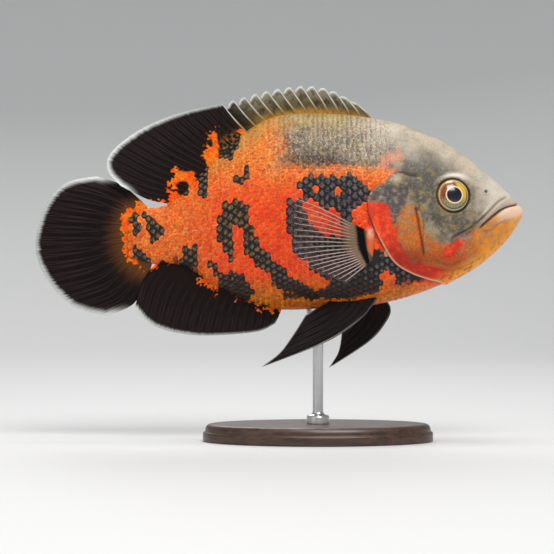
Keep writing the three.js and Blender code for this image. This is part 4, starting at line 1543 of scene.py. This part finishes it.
@dataclass
class Scales:
    """The coat: columns of overlapping scales on one flank, staggered by half a scale."""

    form: BodyForm
    marks: Markings
    flank: Flank
    finish: BodyFinish
    fields: tuple[ScaleField, ...] = (
        ScaleField(False, 52.0, 3.05, 2.6, 5.2, 0.09, 0.85, 0.26),
        ScaleField(True, 51.0, 2.75, 2.75, 4.1, 0.02, 0.67, 0.15),
    )
    buried: float = 5.6
    bare: float = 3.95
    half_width: float = 3.45
    sunk: float = 0.34
    thick: float = 0.14
    seed: int = 12

    def in_nape(self, x: Array, z: Array) -> Array:
        """Tells where the finer scales of the nape grow."""
        return (z > 155.5 + 1.5 * lattice_noise(x, z, 8, 9)) & (x > -19 + 3 * lattice_noise(x, z, 6, 10))

    def centres(self, part: ScaleField) -> tuple[Array, Array, Array]:
        """Places the scales of one part.

        Args:
            part: The part of the flank.

        Returns:
            Their x, their height along the section, and their size.
        """
        xs = [part.first]
        while xs[-1] > self.form.stem_end + 3:
            share = float(smoothstep(np.array(xs[-1]), -100, -30))
            xs.append(xs[-1] - (part.tail_pitch + (part.pitch - part.tail_pitch) * share))
        places = []
        for i, x in enumerate(xs):
            top = np.interp(x, self.flank.xs, self.flank.top)
            bottom = np.interp(x, self.flank.xs, self.flank.bottom)
            for j in range(-22, 23):
                row = j + 0.5 * (i % 2)
                arc = math.copysign(part.row * abs(row) - part.shrink * row * row, row)
                size = part.size * (1 - 2 * part.shrink * abs(row) / part.row)
                size *= 0.86 + 0.14 * float(smoothstep(np.array(x), -100, -40))
                if bottom + 1.6 < arc < top - 1.6:
                    places.append((x, arc, size))
        x, arc, size = np.array(places).T
        spot = self.flank.at(x, arc)
        keep = (self.form.scaled(x - 1.5, spot[:, 2]) > 0.6) & (self.in_nape(x, spot[:, 2]) == part.nape)
        return x[keep], arc[keep], size[keep]

    def plate(self) -> tuple[Array, Array]:
        """Shapes one scale.

        Returns:
            Its points' lengths towards the tail and their places across.
        """
        share = np.array([-0.9, 0.0, 0.42, 0.74, 0.92, 1.0])
        along = share * np.where(share < 0, self.buried, self.bare)
        rounded = np.sqrt(np.maximum(1 - (np.maximum(share, 0) * 0.97) ** 3.6, 0))
        width = np.where(share > 0, rounded, 1 - 0.25 * share**2)
        across = np.linspace(-1, 1, 5)[None, :] * width[:, None] * self.half_width
        return np.repeat(along[:, None], across.shape[1], axis=1), across

    def maps(self, x: Array, arc: Array, forward: Array, across: Array) -> dict[str, Array]:
        """Lays out the scales' flat maps.

        Args:
            x: The scales' x.
            arc: Their height along the section.
            forward: One scale's points' lengths towards the tail.
            across: Their places across.

        Returns:
            The bake's map, where each scale is a small patch at its place on the flank, and the map
            that every scale has of its own.
        """
        patch, long, wide = 0.003, 10.0, 7.2
        u = 0.02 + 0.95 * (x - self.flank.x_low) / (self.flank.x_high - self.flank.x_low)
        v = 0.5 + 0.48 * arc / self.flank.arc_reach
        one = np.tile(np.stack([forward.ravel(), across.ravel()], axis=1), (2, 1))
        bake = np.stack([u, v], axis=1)[:, None, :] + one / (long, wide) * patch
        return {"OFBake": bake.reshape(-1, 2), "scale": np.tile(one / SCALE_MAP + 0.5, (len(x), 1))}

    def make(self, side: Side) -> bpy.types.Object:
        """Builds and dresses one flank's scales.

        Args:
            side: The side of the fish.

        Returns:
            The coat's piece.
        """
        rng = np.random.default_rng(self.seed + side.value)
        sets = [(*self.centres(part), part.lift) for part in self.fields]
        x, arc, size = (np.concatenate([one[k] for one in sets]) for k in range(3))
        lift = np.concatenate([np.full(len(one[0]), one[3]) for one in sets])
        high = self.flank.at(x, arc)[:, 2] > self.form.cover_top
        lift = lift * np.where(high, 1 - 0.75 * smoothstep(x, 22, 44), 1.0)
        x = x + rng.normal(0, 0.16, len(x)) * np.where(high, 2.2, 1.0)
        arc = arc + rng.normal(0, 0.12, len(x)) * np.where(high, 1.6, 1.0)
        count = len(x)
        forward, across = self.plate()
        grow = (size * rng.uniform(0.96, 1.04, count))[:, None, None]
        lean = rng.normal(0, 0.035, count)[:, None, None]
        px = x[:, None, None] - grow * (forward + across * lean)
        pa = arc[:, None, None] + grow * (across - forward * lean)
        normal = self.flank.normal_at(px, pa)
        raised = (forward[None] / self.bare + 1.42) / 2.42
        free = (lift * rng.uniform(0.75, 1.25, count))[:, None, None]
        rise = raised * (free + self.sunk) - self.sunk - 0.08 * (across[None] / self.half_width) ** 2
        top = self.flank.at(px, pa) + normal * rise[..., None]
        low = top - normal * self.thick
        top[..., 1] = np.maximum(top[..., 1], 0.02)
        low[..., 1] = np.maximum(low[..., 1], 0.01)
        plates = [closed_sheet(one, other)[0] for one, other in zip(top, low)]
        points = np.concatenate(plates) * [1, side.value, 1]
        per = len(plates[0])
        faces = (closed_sheet(top[0], low[0])[1] + np.arange(count)[:, None, None] * per).reshape(-1, 4)
        spot = self.flank.at(x - 0.8, arc)
        zones = self.marks.zones(spot[:, 0], spot[:, 1] * side.value, spot[:, 2], blur=0.12)
        floats = {key: np.repeat(value, per) for key, value in zones.items()}
        floats["tone"] = np.repeat(rng.uniform(0, 1, count), per)
        name = f"scales_{side.name.lower()}"
        piece = make_piece(name, points, faces, floats, self.maps(x, arc, forward, across))
        return dress(piece, self.finish.scales(), "flank_skin")


# Fins


@dataclass
class Fin:
    """A fin spread between its root, its two edges and its margin, with rays raised on both faces."""

    name: str
    node: str
    root: Pairs
    tips: Pairs
    first: Pairs
    last: Pairs
    rays: int
    lie: Callable[[Array, Array], Array]
    finish: FinFinish
    slot: str = "dark_fin"
    ray_offset: float = 0.5
    forks: bool = True
    notch: float = 0.0
    root_half: float = 2.4
    web: float = 0.17
    crest: float = 0.26
    ripple: float = 0.6
    per_ray: int = 22
    rows: int = 60
    flecked: bool = False
    rim_along: tuple[float, float, float] = (1.0, 1.0, 1.0)
    rim_first: bool = True
    rim_last: bool = True

    def flat(self, u: Array, v: Array) -> Array:
        """Gives places on the fin's plain surface in the side view.

        Args:
            u: The share along the root.
            v: The share of the way out to the margin.

        Returns:
            The x and z, in a last axis of 2.
        """
        edges = []
        for pairs, t in ((self.root, u), (self.tips, u), (self.first, v), (self.last, v)):
            line = smooth_line(pairs, 160)
            at = np.linspace(0, 1, len(line))
            edges.append(np.stack([np.interp(t, at, line[:, k]) for k in range(2)], axis=-1))
        a, b, c, d = edges
        root, tips = np.array(self.root, float), np.array(self.tips, float)
        u, v = u[..., None], v[..., None]
        corners = (1 - v) * ((1 - u) * root[0] + u * root[-1]) + v * ((1 - u) * tips[0] + u * tips[-1])
        return (1 - v) * a + v * b + (1 - u) * c + u * d - corners

    def margin(self, u: Array) -> Array:
        """Scallops the margin between the tips of the rays.

        Args:
            u: The share along the root.

        Returns:
            How far out the web reaches, about 1.
        """
        phase = (u * self.rays - self.ray_offset) % 1.0
        if self.notch:
            return 1 - self.notch * phase**1.9 * (1 - smoothstep(phase, 0.95, 1.0))
        return 1.012 - 0.008 * (1 - np.abs(2 * phase - 1) ** 2) - 0.005 * np.cos(2 * math.pi * phase * 4)

    def at(self, u: Array, v: Array) -> Array:
        """Gives points on the middle of the fin, rippled a little towards the margin.

        Args:
            u: The share along the root.
            v: The share of the way out to the margin.

        Returns:
            The points, with a last axis of 3.
        """
        flat = self.flat(u, v)
        side = self.lie(u, v) + self.ripple * v**2 * np.sin(2 * math.pi * (1.7 * u + 0.35 * v + 0.2))
        return np.stack([flat[..., 0], side, flat[..., 1]], axis=-1)

    def ridge(self, u: Array, v: Array) -> Array:
        """Raises the rays, each forked twice on its way out.

        Args:
            u: The share along the root.
            v: The share of the way out to the margin.

        Returns:
            How high the rays stand, from 0 to 1.
        """
        ray = u * self.rays - self.ray_offset
        away = (ray + 0.5) % 1.0 - 0.5
        wide = 0.075 + 0.02 * v
        if not self.forks:
            return bell(away, 0, wide)
        fork = 0.20 * smoothstep(v, 0.25, 0.7)
        twig = 0.10 * smoothstep(v, 0.55, 0.95)
        high = np.zeros(away.shape)
        away = away + 0.05 * np.sin(7 * np.round(ray) + 3 * v)
        for a in (-1, 1):
            for b in (-1, 1):
                high = np.maximum(high, bell(away, a * fork + b * twig, wide * (1 - 0.45 * v)))
        return high

    def make(self, marks: Markings) -> bpy.types.Object:
        """Builds and dresses the fin.

        Args:
            marks: The body's colour zones, which run on to the bases of the flecked fins.

        Returns:
            The fin's piece.
        """
        share = np.linspace(0, 1, self.rays * self.per_ray + 1)
        u, t = np.broadcast_arrays(share[None, :], np.linspace(0, 1, self.rows)[:, None])
        v = t * self.margin(u)
        p = self.at(u, v)
        normal = np.cross(np.gradient(p, axis=1), np.gradient(p, axis=0))
        normal /= np.linalg.norm(normal, axis=2, keepdims=True) + 1e-9
        high = self.ridge(u, v)
        half = self.web * (1 - 0.45 * v) + self.crest * high * (0.12 + 0.88 * (1 - v))
        half = half + (self.root_half - self.web) * (1 - v) ** 8
        half = half * (0.35 + 0.65 * smoothstep((1 - t) * (self.rows - 1), 0, 2))
        points, faces = closed_sheet(p + normal * half[..., None], p - normal * half[..., None])
        outer = int(self.rows * 0.62)
        rim_line = [p[-1, ::4, ::2]]
        if self.rim_first:
            rim_line.insert(0, p[outer:-1:3, 0, ::2])
        if self.rim_last:
            rim_line.append(p[-2:outer:-3, -1, ::2])
        edge = np.abs(distance_to_line(p[..., 0], p[..., 2], np.vstack(rim_line))[0])
        along_rim = np.interp(u, [0, 0.5, 1], self.rim_along)
        floats = {
            "joins": smoothstep(u, 0.80, 1.0) if self.notch else np.zeros(v.shape),
            "ray": high,
            "edge_mm": edge / np.maximum(along_rim, 0.2),
            "rim_share": smoothstep(v, 0.62, 0.95) * along_rim,
            "reach": v,
            "fin_black": np.ones(v.shape),
            "dark": np.zeros(v.shape),
        }
        if self.flecked:
            zones = marks.zones(p[..., 0], p[..., 1], p[..., 2], blur=2.0)
            floats |= {"fin_black": zones["fin_black"], "dark": zones["dark"], "gild": zones["crest_gold"]}
        both_faces = {key: np.tile(value.ravel(), 2) for key, value in floats.items()}
        spread = np.tile(np.stack([u.ravel(), v.ravel()], axis=1), (2, 1))
        piece = make_piece(self.name, points, faces, both_faces, {"fin": spread})
        return dress(piece, self.finish.material(), self.slot, self.node)


@dataclass
class RayTubes:
    """Round spines or rays run along a fin by Geometry Nodes."""

    name: str
    fin: Fin
    finish: RayFinish
    slot: str
    places: Sequence[float]
    thick: float = 0.62
    thin: float = 0.16
    from_v: float = 0.0
    to_v: float = 1.0
    points: int = 40
    around: int = 10

    def tree(self, material: bpy.types.Material) -> tuple[bpy.types.NodeTree, dict[str, str]]:
        """Builds the node tree.

        Args:
            material: The rays' material.

        Returns:
            The tree, and its inputs' identifiers by name.
        """
        tree = bpy.data.node_groups.new(self.name, "GeometryNodeTree")
        nodes, sockets, names = tree.nodes, tree.interface, {}
        sockets.new_socket("Geometry", in_out="INPUT", socket_type="NodeSocketGeometry")
        for name, kind in (("Root radius", "Float"), ("Tip radius", "Float"), ("Around", "Int")):
            socket = sockets.new_socket(name, in_out="INPUT", socket_type=f"NodeSocket{kind}")
            names[name] = socket.identifier
        sockets.new_socket("Geometry", in_out="OUTPUT", socket_type="NodeSocketGeometry")
        entry, leave = nodes.new("NodeGroupInput"), nodes.new("NodeGroupOutput")
        to_curve, to_mesh = nodes.new("GeometryNodeMeshToCurve"), nodes.new("GeometryNodeCurveToMesh")
        ring, taper = nodes.new("GeometryNodeCurvePrimitiveCircle"), nodes.new("GeometryNodeSetCurveRadius")
        share, size = nodes.new("GeometryNodeInputNamedAttribute"), nodes.new("ShaderNodeMapRange")
        paint, realize = nodes.new("GeometryNodeSetMaterial"), nodes.new("GeometryNodeRealizeInstances")
        share.data_type = "FLOAT"
        share.inputs["Name"].default_value = "share"
        ring.inputs["Radius"].default_value = 1.0
        to_mesh.inputs["Fill Caps"].default_value = True
        paint.inputs["Material"].default_value = material
        links = [
            (entry.outputs["Geometry"], to_curve.inputs[0]),
            (share.outputs["Attribute"], size.inputs["Value"]),
            (entry.outputs["Root radius"], size.inputs["To Min"]),
            (entry.outputs["Tip radius"], size.inputs["To Max"]),
            (to_curve.outputs[0], taper.inputs["Curve"]),
            (size.outputs["Result"], taper.inputs["Radius"]),
            (taper.outputs[0], to_mesh.inputs["Curve"]),
            (entry.outputs["Around"], ring.inputs["Resolution"]),
            (ring.outputs["Curve"], to_mesh.inputs["Profile Curve"]),
            (to_mesh.outputs[0], realize.inputs[0]),
            (realize.outputs[0], paint.inputs["Geometry"]),
            (paint.outputs[0], leave.inputs[0]),
        ]
        if "Scale" in to_mesh.inputs:
            links.append((nodes.new("GeometryNodeInputRadius").outputs[0], to_mesh.inputs["Scale"]))
        for source, target in links:
            tree.links.new(source, target)
        return tree, names

    def make(self) -> bpy.types.Object:
        """Builds and dresses the rays.

        Returns:
            The rays' piece.
        """
        v = np.linspace(0, 1, self.points)
        paths, bones = [], []
        for k, u in enumerate(self.places):
            paths.append(self.fin.at(np.full(self.points, u), self.from_v + (self.to_v - self.from_v) * v))
            first = k * self.points
            bones += [(first + i, first + i + 1) for i in range(self.points - 1)]
        mesh = bpy.data.meshes.new(self.name)
        mesh.from_pydata((np.vstack(paths) * MM).tolist(), bones, [])
        share = mesh.attributes.new("share", "FLOAT", "POINT")
        share.data.foreach_set("value", np.tile(v, len(paths)))
        course = put(self.name, mesh)
        material = self.finish.material()
        tree, names = self.tree(material)
        grow = course.modifiers.new("rays", "NODES")
        grow.node_group = tree
        grow[names["Root radius"]] = self.thick * MM
        grow[names["Tip radius"]] = self.thin * MM
        grow[names["Around"]] = self.around
        depsgraph = bpy.context.evaluated_depsgraph_get()
        made = bpy.data.meshes.new_from_object(course.evaluated_get(depsgraph))
        bpy.data.objects.remove(course)
        made.shade_smooth()
        return dress(put(self.name, made), material, self.slot)


# Eyes


@dataclass
class Eye:
    """A flattened ball set into the head."""

    form: BodyForm
    side: Side
    finish: EyeFinish
    radius: float = 10.2
    depth: float = 6.2
    sunk: float = 3.2
    rings: int = 72
    around: int = 96

    def make(self) -> bpy.types.Object:
        """Builds and dresses the eye.

        Returns:
            The eye's piece.
        """
        spot, normal = self.form.seat(self.form.eye, self.side)
        across = np.array([1.0, 0, 0]) - normal[0] * normal
        across /= np.linalg.norm(across)
        up = np.cross(normal, across)
        up = up if up[2] > 0 else -up
        dip = np.linspace(0, math.pi, self.rings + 1)[1:-1, None]
        turn = np.arange(self.around)[None, :] * 2 * math.pi / self.around
        a = self.radius * np.sin(dip) * np.cos(turn)
        b = self.radius * np.sin(dip) * np.sin(turn)
        c = self.depth * np.cos(dip) + 0 * turn
        centre = spot - normal * self.sunk
        ball = centre + a[..., None] * across + b[..., None] * up + c[..., None] * normal
        poles = np.array([centre + normal * self.depth, centre - normal * self.depth])
        points = np.vstack([ball.reshape(-1, 3), poles])
        floats = {"eye_across": np.append(a.ravel(), [0, 0]), "eye_up": np.append(b.ravel(), [0, 0])}
        name = f"eye_{self.side.name.lower()}"
        piece = make_piece(f"{name}_ball", points, capped_faces(self.rings - 1, self.around), floats)
        return dress(piece, self.finish.material(), "eye", name)


# Stand and studio


@dataclass
class Stand:
    """The oval wooden base and the steel rod that carries the fish by its belly."""

    finish: StandFinish
    form: BodyForm
    half_length: float = 66.0
    half_width: float = 42.0
    height: float = 10.0
    around: int = 192
    rod_radius: float = 3.0
    rod_around: int = 64
    collar_radius: float = 6.5
    into_belly: float = 1.2

    def turned(self, name: str, rings: Sequence[Array], low: float, high: float) -> bpy.types.Object:
        """Makes a piece from level rings, closed at both ends.

        Args:
            name: The piece's name.
            rings: Its rings, from the bottom up.
            low: The height of its lowest point on the axis.
            high: The height of its highest point on the axis.

        Returns:
            The piece.
        """
        points = np.vstack([*rings, [[0, 0, low], [0, 0, high]]])
        return make_piece(name, points, capped_faces(len(rings), len(rings[0])))

    def base(self) -> bpy.types.Object:
        """Builds the base with a rounded foot, a bead and a soft top edge.

        Returns:
            The base's piece.
        """
        profile = [
            (4.0, 0.0), (1.0, 0.0), (0.4, 0.15), (0.1, 0.5), (0.0, 1.0), (0.0, 4.6), (0.15, 5.1),
            (0.55, 5.45), (1.0, 5.6), (1.25, 5.8), (1.3, 6.1), (1.35, 6.9), (1.55, 7.8), (2.0, 8.7),
            (2.7, 9.4), (3.6, 9.85), (4.6, 10.0), (10.0, 10.0), (24.0, 10.0),
        ]
        long, wide = self.half_length, self.half_width
        rings = [level_ring(long - inset, wide - inset, z, self.around) for inset, z in profile]
        rings.insert(0, rings[0] * [0.5, 0.5, 1.0])
        piece = self.turned("display_base", rings, 0, self.height)
        return dress(piece, self.finish.wood(), "stand_wood", "stand_base")

    def rod(self) -> bpy.types.Object:
        """Builds the rod with its turned foot and its cradle, which goes into the belly.

        Returns:
            The rod's piece.
        """
        r, c = self.rod_radius, self.collar_radius
        foot = self.height - 0.2
        top = float(self.form.belly(0.0)) + self.into_belly
        profile = [
            (c, foot), (c, 10.4), (c, 13.6), (c - 0.15, 14.2), (c - 0.55, 14.7), (c - 1.2, 15.0),
            (r + 1.3, 15.25), (r + 0.6, 15.7), (r + 0.2, 16.4), (r, 17.4), (r, 40.0), (r, top - 7.5),
            (r + 0.15, top - 6.6), (r + 0.6, top - 5.9), (c - 1.2, top - 5.0), (c - 0.4, top - 4.6),
            (c - 0.05, top - 4.1), (c, top - 3.4), (c, top - 0.6), (c - 0.3, top - 0.1),
        ]
        rings = [level_ring(a, a, z, self.rod_around) for a, z in profile]
        piece = self.turned("support_rod", rings, foot, top)
        return dress(piece, self.finish.steel(), "stand_metal", "stand_rod")


@dataclass
class Studio:
    """The camera, the soft lamps and the pale bowl that serves as floor and backdrop."""

    camera_place: tuple[float, float, float] = (-23.5, -1192.0, 94.1)
    lens: float = 135.0
    sensor: float = 36.0
    aim: tuple[float, float, float] = (0.0, 0.0, 0.12)
    bowl_radius: float = 3600.0
    bowl_height: float = 2600.0
    floor_radius: float = 1250.0
    world_strength: float = 0.38

    def camera(self) -> None:
        """Places the camera, level and square to the fish's right side."""
        data = bpy.data.cameras.new("camera")
        data.lens = self.lens
        data.sensor_width = self.sensor
        data.sensor_fit = "HORIZONTAL"
        data.clip_start, data.clip_end = 0.02, 50.0
        camera = put("camera", data)
        camera.location = [c * MM for c in self.camera_place]
        camera.rotation_euler = (math.pi / 2, 0, 0)
        bpy.context.scene.camera = camera

    def lamp(
        self, name: str, place: tuple[float, float, float], size: float, power: float, warm: float
    ) -> None:
        """Hangs a soft square lamp that points at the fish.

        Args:
            name: The lamp's name.
            place: Where it hangs, in metres.
            size: Its side, in metres.
            power: Its power in watts.
            warm: How much red it has against blue.
        """
        data = bpy.data.lights.new(name, "AREA")
        data.size = size
        data.energy = power
        data.color = (1.0, 1.0 - 0.35 * warm, 1.0 - warm)
        lamp = put(name, data)
        lamp.location = place
        x, y, z = np.array(self.aim) - np.array(place)
        tilt, heading = math.atan2(z, math.hypot(x, y)), math.atan2(y, x)
        lamp.rotation_euler = (math.pi / 2 + tilt, 0, heading - math.pi / 2)

    def make(self) -> None:
        """Builds the floor and lights it."""
        around = 128
        reach = np.linspace(0, self.bowl_radius, 61)[1:]
        slope = np.maximum((reach - self.floor_radius) / (self.bowl_radius - self.floor_radius), 0)
        rings = [level_ring(a, a, z, around) for a, z in zip(reach, self.bowl_height * slope**2.3)]
        even = np.arange(0, around, 2)
        middle = np.full(len(even), len(rings) * around)
        centre = np.stack([middle, even, even + 1, (even + 2) % around], axis=1)
        faces = np.vstack([grid_faces(len(rings), around, closed=True)[:, ::-1], centre])
        floor = make_piece("studio_floor", np.vstack([*rings, [[0, 0, 0]]]), faces)
        floor.data.materials.append(floor_material())
        world = bpy.context.scene.world or bpy.data.worlds.new("world")
        bpy.context.scene.world = world
        world.use_nodes = True
        back = world.node_tree.nodes["Background"]
        back.inputs["Color"].default_value = (0.93, 0.96, 1.0, 1.0)
        back.inputs["Strength"].default_value = self.world_strength
        self.lamp("key", (0.35, -1.15, 1.55), 0.9, 25.0, 0.03)
        self.lamp("fill", (-1.4, -1.2, 0.9), 1.2, 3.5, 0.0)
        self.lamp("back", (-0.3, 1.5, 1.3), 1.0, 9.0, 0.02)
        self.lamp("top", (0.1, 0.0, 1.7), 0.7, 11.0, 0.0)
        bpy.context.scene.view_settings.view_transform = "Standard"


# The fish's fins


def body_fins() -> list[Fin]:
    """Lists the fins of the middle line."""
    black = FinFinish("black_fin")
    olive = FinFinish(
        "olive_fin", web=(0.10, 0.075, 0.035), ray=(0.26, 0.19, 0.09), base=(0.44, 0.21, 0.025),
        rim=(0.74, 0.77, 0.74), rim_width=0.9, tip=(0.27, 0.25, 0.18),
    )
    tail = FinFinish(
        "tail_fin_black", web=(0.0065, 0.0035, 0.0035), ray=(0.025, 0.016, 0.014), base=(0.115, 0.042, 0.012),
        rim_width=2.0,
    )
    return [
        Fin(
            "dorsal_spiny_web", "dorsal_fin_spiny",
            ((31, 181), (12, 183), (-8, 184), (-24, 181.5), (-38, 174.5)),
            ((21.9, 193.7), (6.4, 201.6), (-9.4, 203.6), (-30.5, 200.4), (-55, 193.4)),
            ((31, 181), (28.7, 187.2), (21.9, 193.7)), ((-38, 174.5), (-47, 183.5), (-55, 193.4)),
            rays=12, lie=lambda u, v: 0 * u * v, finish=olive, ray_offset=0.0, forks=False, notch=0.2,
            root_half=1.8, crest=0.35, per_ray=16, ripple=0.25, rim_first=False, rim_last=False,
        ),
        Fin(
            "dorsal_soft_web", "dorsal_fin_soft",
            ((-38.35, 174.5), (-52, 164), (-64, 151), (-74, 140.5), (-80, 135)),
            ((-55.35, 193.4), (-81.2, 187.4), (-103, 177.8), (-118.5, 165), (-120.2, 155), (-113, 146.3)),
            ((-38.35, 174.5), (-47.35, 183.5), (-55.35, 193.4)),
            ((-80, 135), (-88, 136.4), (-98, 138.8), (-113, 146.3)),
            rays=19, lie=lambda u, v: -4 * u * u * v, finish=black, flecked=True,
            rim_along=(0.6, 1.0, 1.25), rim_first=False,
        ),
        Fin(
            "anal_web", "anal_fin",
            ((-20, 79), (-38, 84), (-60, 94), (-76, 103), (-86, 106)),
            (
                (-24.5, 67.5), (-33.5, 63.1), (-50.7, 61), (-68.9, 60.5), (-85.1, 63), (-95.5, 67.4),
                (-103.8, 75.5),
            ),
            ((-20, 79), (-21.8, 73), (-24.5, 67.5)), ((-86, 106), (-93.5, 101), (-101, 91), (-104.8, 76)),
            rays=18, lie=lambda u, v: -4 * u**3 * v, finish=black, flecked=True,
            rim_along=(0.35, 0.6, 1.0), rim_last=False,
        ),
        Fin(
            "tail_web", "tail_fin",
            ((-95, 131), (-101, 124), (-102, 117), (-101, 111), (-95, 104)),
            (
                (-128, 152.2), (-145.5, 147.9), (-157.3, 134), (-162.6, 112), (-156.5, 94), (-141.5, 77.7),
                (-122, 71.6),
            ),
            ((-95, 131), (-102.5, 138.9), (-113.5, 147.4), (-128, 152.2)),
            ((-95, 104), (-97.5, 94), (-106, 78.8), (-122, 71.6)),
            rays=16, lie=lambda u, v: 7 * v * v, finish=tail, flecked=True, per_ray=24,
            rim_along=(1.0, 0.8, 1.15),
        ),
    ]


def paired_fins() -> list[Fin]:
    """Lists the breast and belly fins."""
    clear = FinFinish(
        "clear_fin", web=(0.045, 0.024, 0.020), ray=(0.26, 0.17, 0.15), base=(0.004, 0.003, 0.004),
        rim=(0.5, 0.4, 0.36), rim_width=0.3, web_alpha=0.07, base_reach=0.28, flesh=(0.12, 0.10, 0.065),
    )
    dusk = FinFinish(
        "dusk_fin", web=(0.007, 0.0045, 0.004), ray=(0.034, 0.026, 0.024), rim=(0.30, 0.28, 0.27),
        rim_width=0.3,
    )
    breast = [
        Fin(
            f"pectoral_web_{side.name.lower()}", f"pectoral_fin_{side.name.lower()}",
            ((28, 119), (29.5, 111), (28.5, 103.5)),
            ((-15.2, 140.2), (-15.6, 124), (-14.5, 107.5), (-3, 98.4), (15.5, 90.7)),
            ((28, 119), (20, 123.5), (2, 133.2), (-15.2, 140.2)), ((28.5, 103.5), (24, 98), (15.5, 90.7)),
            rays=19, lie=lambda u, v, s=side.value: s * (20.5 + 17 * v**0.7), finish=clear, slot="clear_fin",
            root_half=1.9, web=0.11, crest=0.3, ripple=0.5, per_ray=18, rows=50,
        )
        for side in Side
    ]
    sizes: dict[str, Any] = {
        "rays": 6, "finish": dusk, "root_half": 1.8, "web": 0.2, "crest": 0.45, "per_ray": 26,
        "ray_offset": 0.0,
    }
    belly = [
        Fin(
            "pelvic_web_right", "pelvic_fin_right",
            ((33, 82), (22, 81.5), (9, 81)), ((-32.1, 43.7), (-22, 51.5), (-14.5, 61.5), (-7.5, 72.6)),
            ((33, 82), (24.5, 71.5), (12, 62.1), (-1.8, 55.2), (-32.1, 43.7)),
            ((9, 81), (1, 77.4), (-7.5, 72.6)),
            lie=lambda u, v: -(8 + 19 * v - 2 * u), **sizes,
        ),
        Fin(
            "pelvic_web_left", "pelvic_fin_left",
            ((37, 83), (27, 82), (15, 81)), ((6.9, 41), (12.2, 49.5), (14, 58), (14.6, 66)),
            ((37, 83), (41.6, 76), (39.6, 68.8), (30, 57), (6.9, 41)), ((15, 81), (15.2, 73), (14.6, 66)),
            lie=lambda u, v: 8 + 17 * v - 2 * u, **sizes,
        ),
    ]
    return breast + belly


def main() -> None:
    """Builds the studio and the fish, one piece after another."""
    logging.basicConfig(level=logging.INFO, format="%(name)s %(message)s")
    studio = Studio()
    studio.camera()
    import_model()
    form = BodyForm()
    marks = Markings(form)
    finish = BodyFinish()
    pieces = [Skin(form, marks, finish).make()]
    flank = Flank(form)
    scales = Scales(form, marks, flank, finish)
    pieces += [scales.make(side) for side in Side]
    fins = {fin.name: fin for fin in [*body_fins(), *paired_fins()]}
    pieces += [fin.make(marks) for fin in fins.values()]
    gold = RayFinish("gold_spines", (0.26, 0.165, 0.04), (0.60, 0.60, 0.54), 0.25, 0.8)
    glass = RayFinish("pale_rays", (0.010, 0.007, 0.007), (0.50, 0.37, 0.33), 0.02, 0.12)
    horn = RayFinish("leading_spines", (0.02, 0.016, 0.016), (0.22, 0.20, 0.20), 0.1, 0.8)
    spiny = fins["dorsal_spiny_web"]
    places = [k / spiny.rays for k in range(spiny.rays + 1)]
    pieces.append(RayTubes("dorsal_spines", spiny, gold, "dark_fin", places, thick=0.85, thin=0.2).make())
    for side in Side:
        low = side.name.lower()
        web, belly = fins[f"pectoral_web_{low}"], fins[f"pelvic_web_{low}"]
        places = [(k + 0.5) / web.rays for k in range(web.rays)]
        rays = RayTubes(
            f"pectoral_rays_{low}", web, glass, "clear_fin", places,
            thick=0.36, thin=0.12, from_v=0.13, to_v=0.96,
        )
        spine = RayTubes(
            f"pelvic_spine_{low}", belly, horn, "dark_fin", [0.0], thick=0.8, thin=0.22, to_v=0.96
        )
        pieces += [rays.make(), spine.make(), Eye(form, side, EyeFinish()).make()]
    stand = Stand(StandFinish(), form)
    pieces += [stand.base(), stand.rod()]
    studio.make()
    for piece in pieces:
        log.info("%s: %d faces", piece.name, len(piece.data.polygons))


if __name__ == "__main__":
    main()
